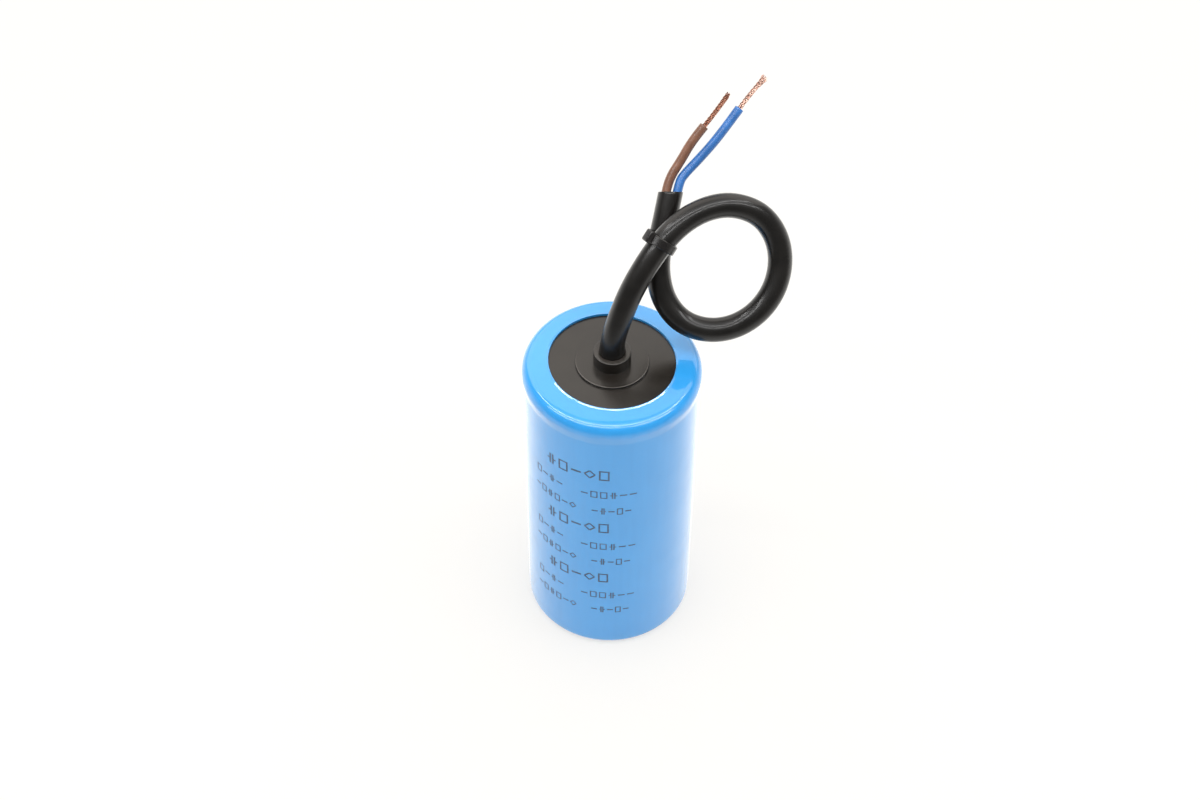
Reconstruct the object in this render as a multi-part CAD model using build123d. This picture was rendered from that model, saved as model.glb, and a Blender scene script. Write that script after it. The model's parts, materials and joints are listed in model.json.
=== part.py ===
from build123d import *
from math import pi, radians, tan
import os

# Motor start capacitor: a wound electrolytic capacitor in a drawn aluminium can, with a
# looped two-core lead out of a moulded cover, all held together by a shrunk PVC sleeve.
# Millimetres. The origin is the middle of the base, on the surface that it stands on, and
# +Z runs up the can's axis. The two terminals lie on X: brown on -X, blue on +X.
# The stack is worked out from the floor up: sleeve lip, base disc, can, winding, hold-down,
# sealing disc, seal ring, curled mouth, cover.

# ---- Shrunk sleeve ----
sleeve_wall = 0.4
sleeve_corner = 2.1            # inside radius where the sleeve turns under the base
sleeve_mouth_long = 18.2       # half axes of the slightly oval opening over the cover
sleeve_mouth_short = 17.6
sleeve_mouth_turn = -50.0      # direction of the long half axis, degrees from +X
sleeve_base_mouth = 18.5       # radius of the opening under the base
sleeve_trim = 1.0              # the sleeve is cut to the oval from a mouth this much smaller

# ---- Can, one drawn cup with a rolled groove and a curled mouth ----
can_radius = 24.5
can_wall = 0.5
can_base = 0.8                 # the drawn base is thicker than the wall
groove_depth = 1.8
groove_floor = 1.2             # height of the groove's straight bottom
groove_flank = 1.6             # height of its lower, sloping side
groove_bend = 0.7
curl_reach = 2.3               # how far the mouth is curled in over the seal
curl_height = 1.8              # from the top of the seal to the crown of the curl
curl_bend = 0.9

# ---- Base disc, an insulating washer between the can and the sleeve's lip ----
base_disc_thickness = 0.5
base_disc_edge = 0.15

# ---- Winding and what holds it ----
winding_gap = 2.2              # radial, from the winding to the can; the cup's rim centres it
winding_height = 70.0
mandrel_radius = 3.0           # the hole that the winding mandrel leaves
wrap_wall = 0.3
winding_edge = 0.6
wrap_margin = 3.0              # bare winding above the wrap
cup_floor = 1.0
cup_rim = 2.9                  # height of the centring rim above the cup's floor
hold_down_plate = 1.0
hold_down_height = 8.0         # from the plate to the sealing disc
hold_down_inset = 4.4          # the ring stands this far inside the winding's edge
hold_down_ring_wall = 1.5
hold_down_windows = 4
window_width = 8.0
window_height = 4.0
window_sill = 1.0              # from the plate to the windows
fit_clearance = 0.1            # between pieces that slip into one another
moulded_edge = 0.3             # small radius on the edges of moulded pieces

# ---- Sealing disc and rubber ring ----
disc_thickness = 3.0
disc_lower_edge = 0.5
seal_thickness = 1.5
seal_edge = 0.2
seal_width = 6.0
vent_radius = 2.0
vent_lip = 0.8
vent_clearance = 0.7           # between the vent's lip and the hold-down ring, on the -Y side

# ---- Terminals ----
terminal_offset = 8.0          # rivet axis from the can's axis
rivet_radius = 1.9
rivet_head_radius = 3.1
rivet_head_height = 1.2
rivet_head_edge = 0.5
rivet_dimple_radius = 1.2      # of the dimple that the rivet die leaves
rivet_dimple_depth = 0.6
washer_radius = 4.4
washer_thickness = 0.8
tag_thickness = 0.8
tag_width = 5.0
tag_tail = 3.0                 # tag length on the inner side of the rivet
tag_reach = 5.5                # rivet axis to the middle of the upstand
tag_height = 7.0
tag_bend = 0.9
tag_corner = 1.2
wire_hole_clearance = 0.25     # radial, round the conductor
wire_hole_height = 5.5         # above the tag's underside
tab_thickness = 0.2
tab_width = 5.0
tab_rise = 4.8                 # straight foot of the tab above the winding
tab_foot_offset = 4.0          # foot of the tab, outwards from the rivet axis
tab_fold_offset = 3.8          # fold of the tab, inwards from the rivet axis
tab_bend = 0.6
tab_slot_clearance = 0.5       # round each tab where it passes the hold-down plate

# ---- Moulded cover with the cable gland ----
cover_height = 12.8            # from the can's crown to the cover's flat top
cover_wall = 2.0
skirt_wall = 1.8
rim_overhang = 0.4             # the rim stands out this far past the can
rim_corner = 3.1               # from the flat top into the rim's wall
rim_straight = 0.4             # the wall, from the corner to where it starts to draw in
rim_taper = 1.0                # height over which it draws in to the can
rim_bend = 1.2
step_radius = 10.4
step_height = 0.6
step_edge = 0.2
step_foot = 0.05
gland_wall = 1.65
gland_height = 4.0
gland_clearance = 0.25         # radial, round the cable
gland_lip = 0.9                # flat lip round the gland's dished mouth
gland_dish = 0.1
dish_edge = 0.1
gland_edge = 0.35
gland_foot = 0.05              # fillet between the gland and the step
rib_count = 6
rib_thickness = 1.2
rib_depth = 4.0

# ---- Lead: round sheath, two cores, stranded conductors ----
sheath_radius = 3.4
core_radius = 1.3
core_gap = 0.4                 # between the two cores where they leave the sheath
core_shift = 0.3               # the pair sits this far off the sheath's middle, towards +X
conductor_radius = 0.65

# Route of the sheath, chosen by hand, measured from the middle of the gland's mouth.
# It rises out of the gland, makes one clockwise loop and ends behind its own first stretch.
sheath_route = [
    (0.0, 0.0, -10.0), (0.0, 0.0, 0.6), (2.0, 2.0, 10.5), (5.0, 5.5, 18.5),
    (9.0, 10.0, 25.0), (13.5, 14.5, 30.0), (19.0, 18.5, 33.5), (25.5, 21.5, 35.0),
    (32.5, 23.0, 34.5), (39.5, 22.5, 31.0), (45.0, 20.5, 25.5), (46.5, 16.5, 19.0),
    (44.5, 11.5, 13.0), (40.0, 7.5, 8.0), (33.5, 5.0, 4.5), (26.0, 4.5, 4.0),
    (19.5, 6.5, 6.5), (14.5, 9.5, 11.0), (12.5, 14.0, 17.0), (12.5, 18.5, 23.0),
    (14.0, 23.0, 29.0), (15.3, 28.0, 34.0),
]
# The cores leave the sheath's cut end square, then follow these points, from the same place.
core_start = 3.4               # straight length of a core out of the sheath
core_route = {
    "brown": [(17.5, 34.0, 40.5), (20.5, 37.0, 45.0), (23.5, 39.0, 48.0)],
    "blue": [
        (19.0, 32.5, 38.0), (22.5, 34.5, 40.0), (26.5, 37.0, 43.5), (30.5, 40.0, 47.5),
        (33.7, 43.3, 51.0),
    ],
}
copper_start = 5.5             # straight length of the bare strands out of the insulation
copper_route = {
    "brown": [(30.0, 44.0, 55.0)],
    "blue": [(40.5, 48.5, 58.0)],
}
# The inner tails of the cores run from the sheath's inner end, over the rivet heads, to the tags.
tail_bow = [(0.0, 2.6), (1.45, 4.9)]   # first points: outwards, and down from the sheath's end
tail_low_offset = 6.0          # lowest point of a tail, from the can's axis
tail_clearance = 0.6           # between that point and the rivet head
strip_back = 4.0               # end of the insulation, short of the tag
strip_dip = 0.75               # and this far below the wire hole
wire_end = 1.8                 # bare wire past the tag
solder_radius = 1.8
solder_flatness = 0.8          # thickness of the solder through the tag over its width
side = {"brown": -1, "blue": 1}

# ---- Nylon cable ties: one on the loop, one inside as strain relief ----
tie_width = 2.5
tie_thickness = 0.9
tie_clearance = 0.05           # round one straight strand
tie_skew_clearance = 0.3       # round two strands that cross askew
tie_side_room = 0.6            # extra half width there
tie_head_length = 4.0
tie_head_width = 3.8
tie_head_height = 3.2
tie_head_edge = 0.4
tie_pocket = 0.6               # depth of the mouth round the trimmed tail
tie_pocket_room = 0.5          # the mouth is this much wider and higher than the tail
tie_stub = 0.7                 # trimmed tail outside the head
tie_nest = 0.6                 # how far the head sinks between two strands
tie_front_at = 45.1            # where the tie crosses the lead's first stretch, along it
tie_back_at = 154.1            # and its last stretch
inner_tie_drop = 0.1           # gap under the cover

past = 1.0                     # cutters run this far past the face that they open

# ---- Heights, from the floor up ----
z_base_disc = sleeve_wall
z_can = z_base_disc + base_disc_thickness
z_cup = z_can + can_base
z_winding = z_cup + cup_floor
z_cup_rim = z_winding + cup_rim
z_plate = z_winding + winding_height
z_disc = z_plate + hold_down_plate + hold_down_height
z_disc_top = z_disc + disc_thickness
z_seal_top = z_disc_top + seal_thickness
z_crown = z_seal_top + curl_height
z_cover = z_crown + cover_height
z_cover_under = z_cover - cover_wall
z_step = z_cover + step_height
z_gland = z_step + gland_height
z_tag = z_disc_top + washer_thickness
z_tag_top = z_tag + tag_thickness
z_lower_washer = z_disc - washer_thickness
z_tab = z_lower_washer - tab_thickness

# ---- Radii and offsets that follow ----
can_bore = can_radius - can_wall
can_corner = sleeve_corner - base_disc_thickness    # same height of centre as the sleeve's corner
rim_radius = can_radius + rim_overhang
winding_radius = can_bore - winding_gap
hold_down_ring_radius = winding_radius - hold_down_inset
hold_down_ring_bore = hold_down_ring_radius - hold_down_ring_wall
disc_radius = can_bore - fit_clearance
vent_offset = hold_down_ring_bore - vent_clearance - vent_lip - vent_radius
rivet_hole = rivet_radius + fit_clearance
wire_hole_radius = conductor_radius + wire_hole_clearance
gland_bore = sheath_radius + gland_clearance
gland_radius = gland_bore + gland_wall
core_pitch = 2 * core_radius + core_gap
gland_mouth = Vector(0, 0, z_gland)


def turned(points, corners):
    """Revolve a closed (radius, height) outline; corners holds one radius per point."""
    outline = FilletPolyline(*[(r, 0, z) for r, z in points], radius=corners, close=True)
    return revolve(make_face(outline), Axis.Z)


def ring(inner, outer, low, high, edge=0.1):
    """A flat ring with slightly broken edges."""
    return turned([(inner, low), (outer, low), (outer, high), (inner, high)], [edge] * 4)


def sheet_line(points, corners, thickness, hand):
    """The section of a bent sheet: one face of it along points, the metal on one side."""
    line = FilletPolyline(*[(x, 0, z) for x, z in points], radius=corners)
    return make_face(line.offset_2d(thickness, side=hand, closed=True))


def round_hole(x, y, radius, low, high):
    """A vertical cutter."""
    return Pos(x, y, (low + high) / 2) * Cylinder(radius, high - low)


# ---- Sleeve, base disc and can ----

def shell_line():
    """The outside of cover and can, which the sleeve is shrunk on to, from the top down."""
    z_taper = z_cover - rim_corner - rim_straight
    return (
        [(rim_radius, z_cover), (rim_radius, z_taper), (can_radius, z_taper - rim_taper)],
        [rim_corner, rim_bend, rim_bend],
    )


def make_sleeve():
    """A thin tube that follows cover and can and turns in over both ends."""
    points, corners = shell_line()
    points = [(sleeve_mouth_short - sleeve_trim, z_cover)] + points
    points += [(can_radius, z_base_disc), (sleeve_base_mouth, z_base_disc)]
    wall = revolve(sheet_line(points, corners + [sleeve_corner], sleeve_wall, Side.LEFT), Axis.Z)
    mouth = extrude(Ellipse(sleeve_mouth_long, sleeve_mouth_short), 2 * sleeve_wall, both=True)
    return wall - Pos(0, 0, z_cover) * Rot(0, 0, sleeve_mouth_turn) * mouth


def make_base_disc():
    return turned(
        [
            (0, z_base_disc), (can_radius - sleeve_corner, z_base_disc),
            (can_radius - sleeve_corner, z_can), (0, z_can),
        ],
        [0, base_disc_edge, base_disc_edge, 0],
    )


def make_can():
    """A drawn cup: thick base, wall with one rolled groove, mouth curled in over the seal."""
    shoulder = z_disc - can_wall
    groove_radius = can_radius - groove_depth
    curl_radius = can_radius - curl_reach
    wall = revolve(
        sheet_line(
            [
                (can_bore - can_corner, z_can), (can_radius, z_can),
                (can_radius, shoulder - groove_floor - groove_flank),
                (groove_radius, shoulder - groove_floor), (groove_radius, shoulder),
                (can_radius, shoulder), (can_radius, z_crown), (curl_radius, z_crown),
                (curl_radius, z_seal_top),
            ],
            [can_corner, groove_bend, groove_bend, groove_bend, groove_bend, curl_bend, curl_bend],
            can_wall,
            Side.RIGHT,
        ),
        Axis.Z,
    )
    base_radius = can_radius - can_corner
    base = turned(
        [(0, z_can), (base_radius, z_can), (base_radius, z_cup), (0, z_cup)], [0, 0, 0, 0]
    )
    return wall + base


# ---- Winding and its supports ----

def make_winding():
    """Foil and paper wound on a mandrel; the mandrel's hole stays open."""
    return ring(mandrel_radius, winding_radius, z_winding, z_plate, winding_edge)


def make_wrap():
    """The outer wrap of the winding, from just above the bottom cup's rim."""
    low = z_cup_rim + fit_clearance
    return ring(winding_radius, winding_radius + wrap_wall, low, z_plate - wrap_margin, edge=0)


def make_bottom_cup():
    """An insulating cup that centres the foot of the winding in the can."""
    rim_outer = can_bore - 2 * fit_clearance
    rim_inner = winding_radius + fit_clearance
    corner = can_corner - can_wall + fit_clearance
    return turned(
        [
            (0, z_cup), (rim_outer, z_cup), (rim_outer, z_cup_rim), (rim_inner, z_cup_rim),
            (rim_inner, z_winding), (0, z_winding),
        ],
        [0, corner, moulded_edge, moulded_edge, 0, 0],
    )


def make_hold_down():
    """A moulded spacer: a plate on the winding and a windowed ring up to the sealing disc."""
    z_top = z_plate + hold_down_plate
    spacer = turned(
        [
            (0, z_plate), (winding_radius, z_plate), (winding_radius, z_top),
            (hold_down_ring_radius, z_top), (hold_down_ring_radius, z_disc),
            (hold_down_ring_bore, z_disc), (hold_down_ring_bore, z_top), (0, z_top),
        ],
        [0, moulded_edge, moulded_edge, moulded_edge, moulded_edge, moulded_edge, moulded_edge, 0],
    )
    window = Box(2 * can_radius, window_width, window_height)
    window = Pos(0, 0, z_top + window_sill + window_height / 2) * window
    for i in range(hold_down_windows // 2):
        spacer -= Rot(0, 0, 180 * i / (hold_down_windows // 2)) * window
    room = 2 * tab_slot_clearance
    slot = Box(tab_thickness + room, tab_width + room, 2 * hold_down_plate)
    for way in side.values():
        spacer -= Pos(way * (terminal_offset + tab_foot_offset), 0, z_plate + hold_down_plate / 2) * slot
    return spacer


# ---- Sealing disc, seal ring and vent ----

def make_disc():
    """The phenolic disc that carries the terminals; it sits on the can's rolled shoulder."""
    disc = turned(
        [(0, z_disc), (disc_radius, z_disc), (disc_radius, z_disc_top), (0, z_disc_top)],
        [0, disc_lower_edge, moulded_edge, 0],
    )
    for way in side.values():
        disc -= round_hole(way * terminal_offset, 0, rivet_hole, z_disc, z_disc_top)
    return disc - round_hole(0, -vent_offset, vent_radius, z_disc, z_disc_top)


def make_seal():
    """A rubber ring under the curled edge of the can."""
    return ring(disc_radius - seal_width, disc_radius, z_disc_top, z_seal_top, seal_edge)


def make_vent():
    """A rubber plug, lipped on both faces of the disc, that lets go under pressure."""
    lip = vent_radius + vent_lip
    plug = turned(
        [
            (0, z_disc - vent_lip), (lip, z_disc - vent_lip), (lip, z_disc), (vent_radius, z_disc),
            (vent_radius, z_disc_top), (lip, z_disc_top), (lip, z_disc_top + vent_lip),
            (0, z_disc_top + vent_lip),
        ],
        [0, moulded_edge, 0, 0, 0, 0, moulded_edge, 0],
    )
    return Pos(0, -vent_offset, 0) * plug


# ---- Terminals, built on +X; the brown one is turned to -X ----

def to_side(solid, colour):
    """Turn a piece built on +X to its core's side."""
    return solid if side[colour] > 0 else Rot(0, 0, 180) * solid


def make_rivet(colour):
    """A rivet: pan head below the tab, upset head on the solder tag."""
    z_foot = z_tab - rivet_head_height
    z_head = z_tag_top + rivet_head_height
    rivet = turned(
        [
            (0, z_foot), (rivet_head_radius, z_foot), (rivet_head_radius, z_tab), (rivet_radius, z_tab),
            (rivet_radius, z_tag_top), (rivet_head_radius, z_tag_top), (rivet_head_radius, z_head),
            (rivet_dimple_radius, z_head), (0, z_head - rivet_dimple_depth),
        ],
        [0, rivet_head_edge, 0, 0, 0, 0, rivet_head_edge, rivet_head_edge, 0],
    )
    return to_side(Pos(terminal_offset, 0, 0) * rivet, colour)


def make_washer(colour, low):
    washer = ring(rivet_hole, washer_radius, low, low + washer_thickness)
    return to_side(Pos(terminal_offset, 0, 0) * washer, colour)


def make_tag(colour):
    """A solder tag: a strip under the rivet head, bent up, with a hole for the wire."""
    upstand = terminal_offset + tag_reach + tag_thickness / 2
    section = sheet_line(
        [(terminal_offset - tag_tail, z_tag), (upstand, z_tag), (upstand, z_tag + tag_height)],
        [tag_bend + tag_thickness],
        tag_thickness,
        Side.RIGHT,
    )
    tag = extrude(section, tag_width / 2, both=True)
    tag = fillet(tag.edges().filter_by(Axis.X).sort_by(Axis.Z)[-2:], tag_corner)
    tag = fillet(tag.edges().filter_by(Axis.Z).sort_by(Axis.X)[:2], tag_corner)
    tag -= round_hole(terminal_offset, 0, rivet_hole, z_tag - past, z_tag_top + past)
    middle = Pos(terminal_offset + tag_reach, 0, z_tag + wire_hole_height)
    wire_hole = middle * Rot(0, 90, 0) * Cylinder(wire_hole_radius, tag_thickness + 2 * past)
    return to_side(tag - wire_hole, colour)


def make_tab(colour):
    """A foil tab, folded for slack, from the winding's face to under the lower washer."""
    foot = terminal_offset + tab_foot_offset
    fold = terminal_offset - tab_fold_offset
    z_fold = z_plate + tab_rise
    eye_end = terminal_offset + rivet_head_radius
    section = sheet_line(
        [
            (foot, z_plate), (foot, z_fold), (fold, z_fold), (fold, z_lower_washer),
            (eye_end, z_lower_washer),
        ],
        [tab_bend, tab_bend, tab_bend],
        tab_thickness,
        Side.LEFT,
    )
    tab = extrude(section, tab_width / 2, both=True)
    tab -= round_hole(terminal_offset, 0, rivet_hole, z_tab - past, z_lower_washer + past)
    return to_side(tab, colour)


# ---- Cover ----

def make_cover():
    """The moulded cover: overhanging rim, stepped top, gland, skirt and gussets inside."""
    shell_points, shell_corners = shell_line()
    skirt_bore = can_radius - skirt_wall
    cover = turned(
        [
            (gland_bore, z_cover_under), (gland_bore, z_gland - gland_dish),
            (gland_radius - gland_lip, z_gland), (gland_radius, z_gland), (gland_radius, z_step),
            (step_radius, z_step), (step_radius, z_cover), *shell_points,
            (can_radius, z_crown), (skirt_bore, z_crown), (skirt_bore, z_cover_under),
        ],
        [
            moulded_edge, dish_edge, dish_edge, gland_edge, gland_foot, step_edge, step_foot,
            *shell_corners, moulded_edge, moulded_edge, 0,
        ],
    )
    gusset = make_face(
        Polyline(
            (skirt_bore, 0, z_cover_under), (skirt_bore - rib_depth, 0, z_cover_under),
            (skirt_bore, 0, z_cover_under - rib_depth), close=True,
        )
    )
    gusset = extrude(gusset, rib_thickness / 2, both=True)
    for i in range(rib_count):
        cover += Rot(0, 0, 360 * (i + 0.5) / rib_count) * gusset
    return cover


# ---- Cords: straight runs joined by arcs as large as the runs allow ----

def cord_line(points):
    """The centre line through points, each corner an arc of 0.45 of its shorter run."""
    radii = []
    for before, here, after in zip(points, points[1:], points[2:]):
        turn = radians((here - before).get_angle(after - here))
        run = min((here - before).length, (after - here).length)
        radii.append(0.45 * run / tan(turn / 2))
    return FilletPolyline(*points, radius=radii), radii


def cord(name, points, radius):
    """A plain round cord along points; its radii and its volume are printed."""
    line, radii = cord_line(points)
    section = Plane(origin=points[0], z_dir=points[1] - points[0]) * Circle(radius)
    tube = sweep(section, path=line, transition=Transition.RIGHT)
    expected = pi * radius**2 * line.length
    print(
        f"{name}: length {line.length:.1f} mm, radii {[round(r, 1) for r in radii]} mm, "
        f"volume {tube.volume / expected:.4f} of section times length"
    )
    return tube


def sheath_points():
    return [gland_mouth + Vector(*point) for point in sheath_route]


def sheath_end():
    """The middle of the sheath's cut end, its direction, and the line from core to core."""
    before, end = sheath_points()[-2:]
    along = (end - before).normalized()
    across = (Vector(1, 0, 0) - along * along.X).normalized()
    return end, along, across


def core_points(colour):
    """A core starts square on the sheath's cut end, beside the other core."""
    end, along, across = sheath_end()
    start = end + across * (core_shift + side[colour] * core_pitch / 2)
    return [start, start + along * core_start] + [gland_mouth + Vector(*p) for p in core_route[colour]]


def copper_points(colour):
    """The bare strands start square on the insulation's cut end."""
    before, start = core_points(colour)[-2:]
    along = (start - before).normalized()
    return [start, start + along * copper_start] + [gland_mouth + Vector(*p) for p in copper_route[colour]]


def tail_points(colour):
    """A core's inner tail, from the sheath's inner end to just short of its solder tag."""
    x_start = core_pitch / 2
    z_start = sheath_points()[0].Z
    z_low = z_tag_top + rivet_head_height + tail_clearance + core_radius
    points = [(x_start, z_start)]
    points += [(x_start + out, z_start - drop) for out, drop in tail_bow]
    points += [(tail_low_offset, z_low)]
    points += [(terminal_offset + tag_reach - strip_back, z_tag + wire_hole_height - strip_dip)]
    return [Vector(side[colour] * x, 0, z) for x, z in points]


def make_solder(colour, tag):
    """The bare end of a tail and the solder that fills the tag's wire hole round it."""
    strip = tail_points(colour)[-1]
    hole = Vector(side[colour] * (terminal_offset + tag_reach), 0, z_tag + wire_hole_height)
    along = (hole - strip).normalized()
    length = (hole - strip).length + wire_end
    before = tail_points(colour)[-2]
    foot = Plane(origin=strip, z_dir=strip - before)
    wire = Plane(origin=strip + along * (length / 2), z_dir=along) * Cylinder(conductor_radius, length)
    start = foot * Pos(0, 0, conductor_radius / 2) * Cylinder(conductor_radius, conductor_radius)
    joint = Pos(hole) * scale(Sphere(solder_radius), (solder_flatness, 1, 1))
    solder = wire + start + joint
    reach = 2 * solder_radius
    tail_side = foot * Pos(0, 0, -reach) * Box(2 * reach, 2 * reach, 2 * reach)
    return solder - tag - tail_side


# ---- Cable ties ----

def cable_tie(clearance, spread=0.0, room=0.0, nest=0.0):
    """A closed tie round one strand, or round two that lie spread apart along Y.

    The strands run along Z. The head stands on -X; it sinks by nest between two strands.
    """
    bore = sheath_radius + clearance + room
    apart = spread - 2 * room

    def outline(radius):
        if apart > 0:
            return Rot(0, 0, 90) * SlotCenterToCenter(apart, 2 * radius)
        return Circle(radius)

    strap = extrude(outline(bore + tie_thickness) - outline(bore), tie_width / 2, both=True)
    inner_face = nest - bore
    head = Box(tie_head_height, tie_head_length, tie_head_width)
    head = fillet(head.edges(), tie_head_edge)
    outer_face = inner_face - tie_head_height
    pocket = Box(2 * tie_pocket, tie_thickness + tie_pocket_room, tie_width + tie_pocket_room)
    stub = Box(tie_pocket + tie_stub, tie_thickness, tie_width)
    head = Pos((inner_face + outer_face) / 2, 0, 0) * head
    head -= Pos(outer_face, 0, 0) * pocket
    stub = Pos(outer_face + (tie_pocket - tie_stub) / 2, 0, 0) * stub
    return strap + head + stub


def make_tie():
    """The tie on the crossing of the loop, square to the middle of the two strands."""
    line = cord_line(sheath_points())[0]
    front = line.position_at(tie_front_at, position_mode=PositionMode.LENGTH)
    back = line.position_at(tie_back_at, position_mode=PositionMode.LENGTH)
    along = line.tangent_at(tie_front_at, position_mode=PositionMode.LENGTH)
    along = (along + line.tangent_at(tie_back_at, position_mode=PositionMode.LENGTH)).normalized()
    across = (back - front) - along * (back - front).dot(along)
    place = Plane(origin=(front + back) / 2, x_dir=across.cross(along), z_dir=along)
    return place * cable_tie(tie_skew_clearance, across.length, tie_side_room, tie_nest)


def make_inner_tie():
    """The strain relief: a tie drawn tight on the sheath under the cover."""
    z_middle = z_cover_under - inner_tie_drop - tie_head_width / 2
    return Pos(0, 0, z_middle) * Rot(0, 0, -90) * cable_tie(tie_clearance)


# ---- The pieces, one STEP file each ----
nodes = {
    "shrink_sleeve": make_sleeve(),
    "base_disc": make_base_disc(),
    "can": make_can(),
    "bottom_cup": make_bottom_cup(),
    "winding": make_winding(),
    "winding_wrap": make_wrap(),
    "hold_down": make_hold_down(),
    "sealing_disc": make_disc(),
    "seal_ring": make_seal(),
    "vent_plug": make_vent(),
    "cover": make_cover(),
    "cable_sheath": cord("cable_sheath", sheath_points(), sheath_radius),
    "cable_tie": make_tie(),
    "inner_tie": make_inner_tie(),
}
for colour in side:
    tag = make_tag(colour)
    nodes[f"tab_{colour}"] = make_tab(colour)
    nodes[f"rivet_{colour}"] = make_rivet(colour)
    nodes[f"lower_washer_{colour}"] = make_washer(colour, z_lower_washer)
    nodes[f"upper_washer_{colour}"] = make_washer(colour, z_disc_top)
    nodes[f"tag_{colour}"] = tag
    nodes[f"tail_{colour}"] = cord(f"tail_{colour}", tail_points(colour), core_radius)
    nodes[f"solder_{colour}"] = make_solder(colour, tag)
    nodes[f"core_{colour}"] = cord(f"core_{colour}", core_points(colour), core_radius)
    nodes[f"copper_{colour}"] = cord(f"copper_{colour}", copper_points(colour), conductor_radius)

os.makedirs("parts", exist_ok=True)
for name, solid in nodes.items():
    export_step(solid, f"parts/{name}.step")
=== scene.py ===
"""Looks of a motor start capacitor: a shrunk blue sleeve, a moulded cover and a looped lead.

Everything is in metres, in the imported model's frame: the origin is the middle of the base, on
the surface that the can stands on, and +Z runs up the can's axis.
"""
import json
import logging
import math
from collections.abc import Sequence
from dataclasses import dataclass, field
from enum import Enum
from random import Random

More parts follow.
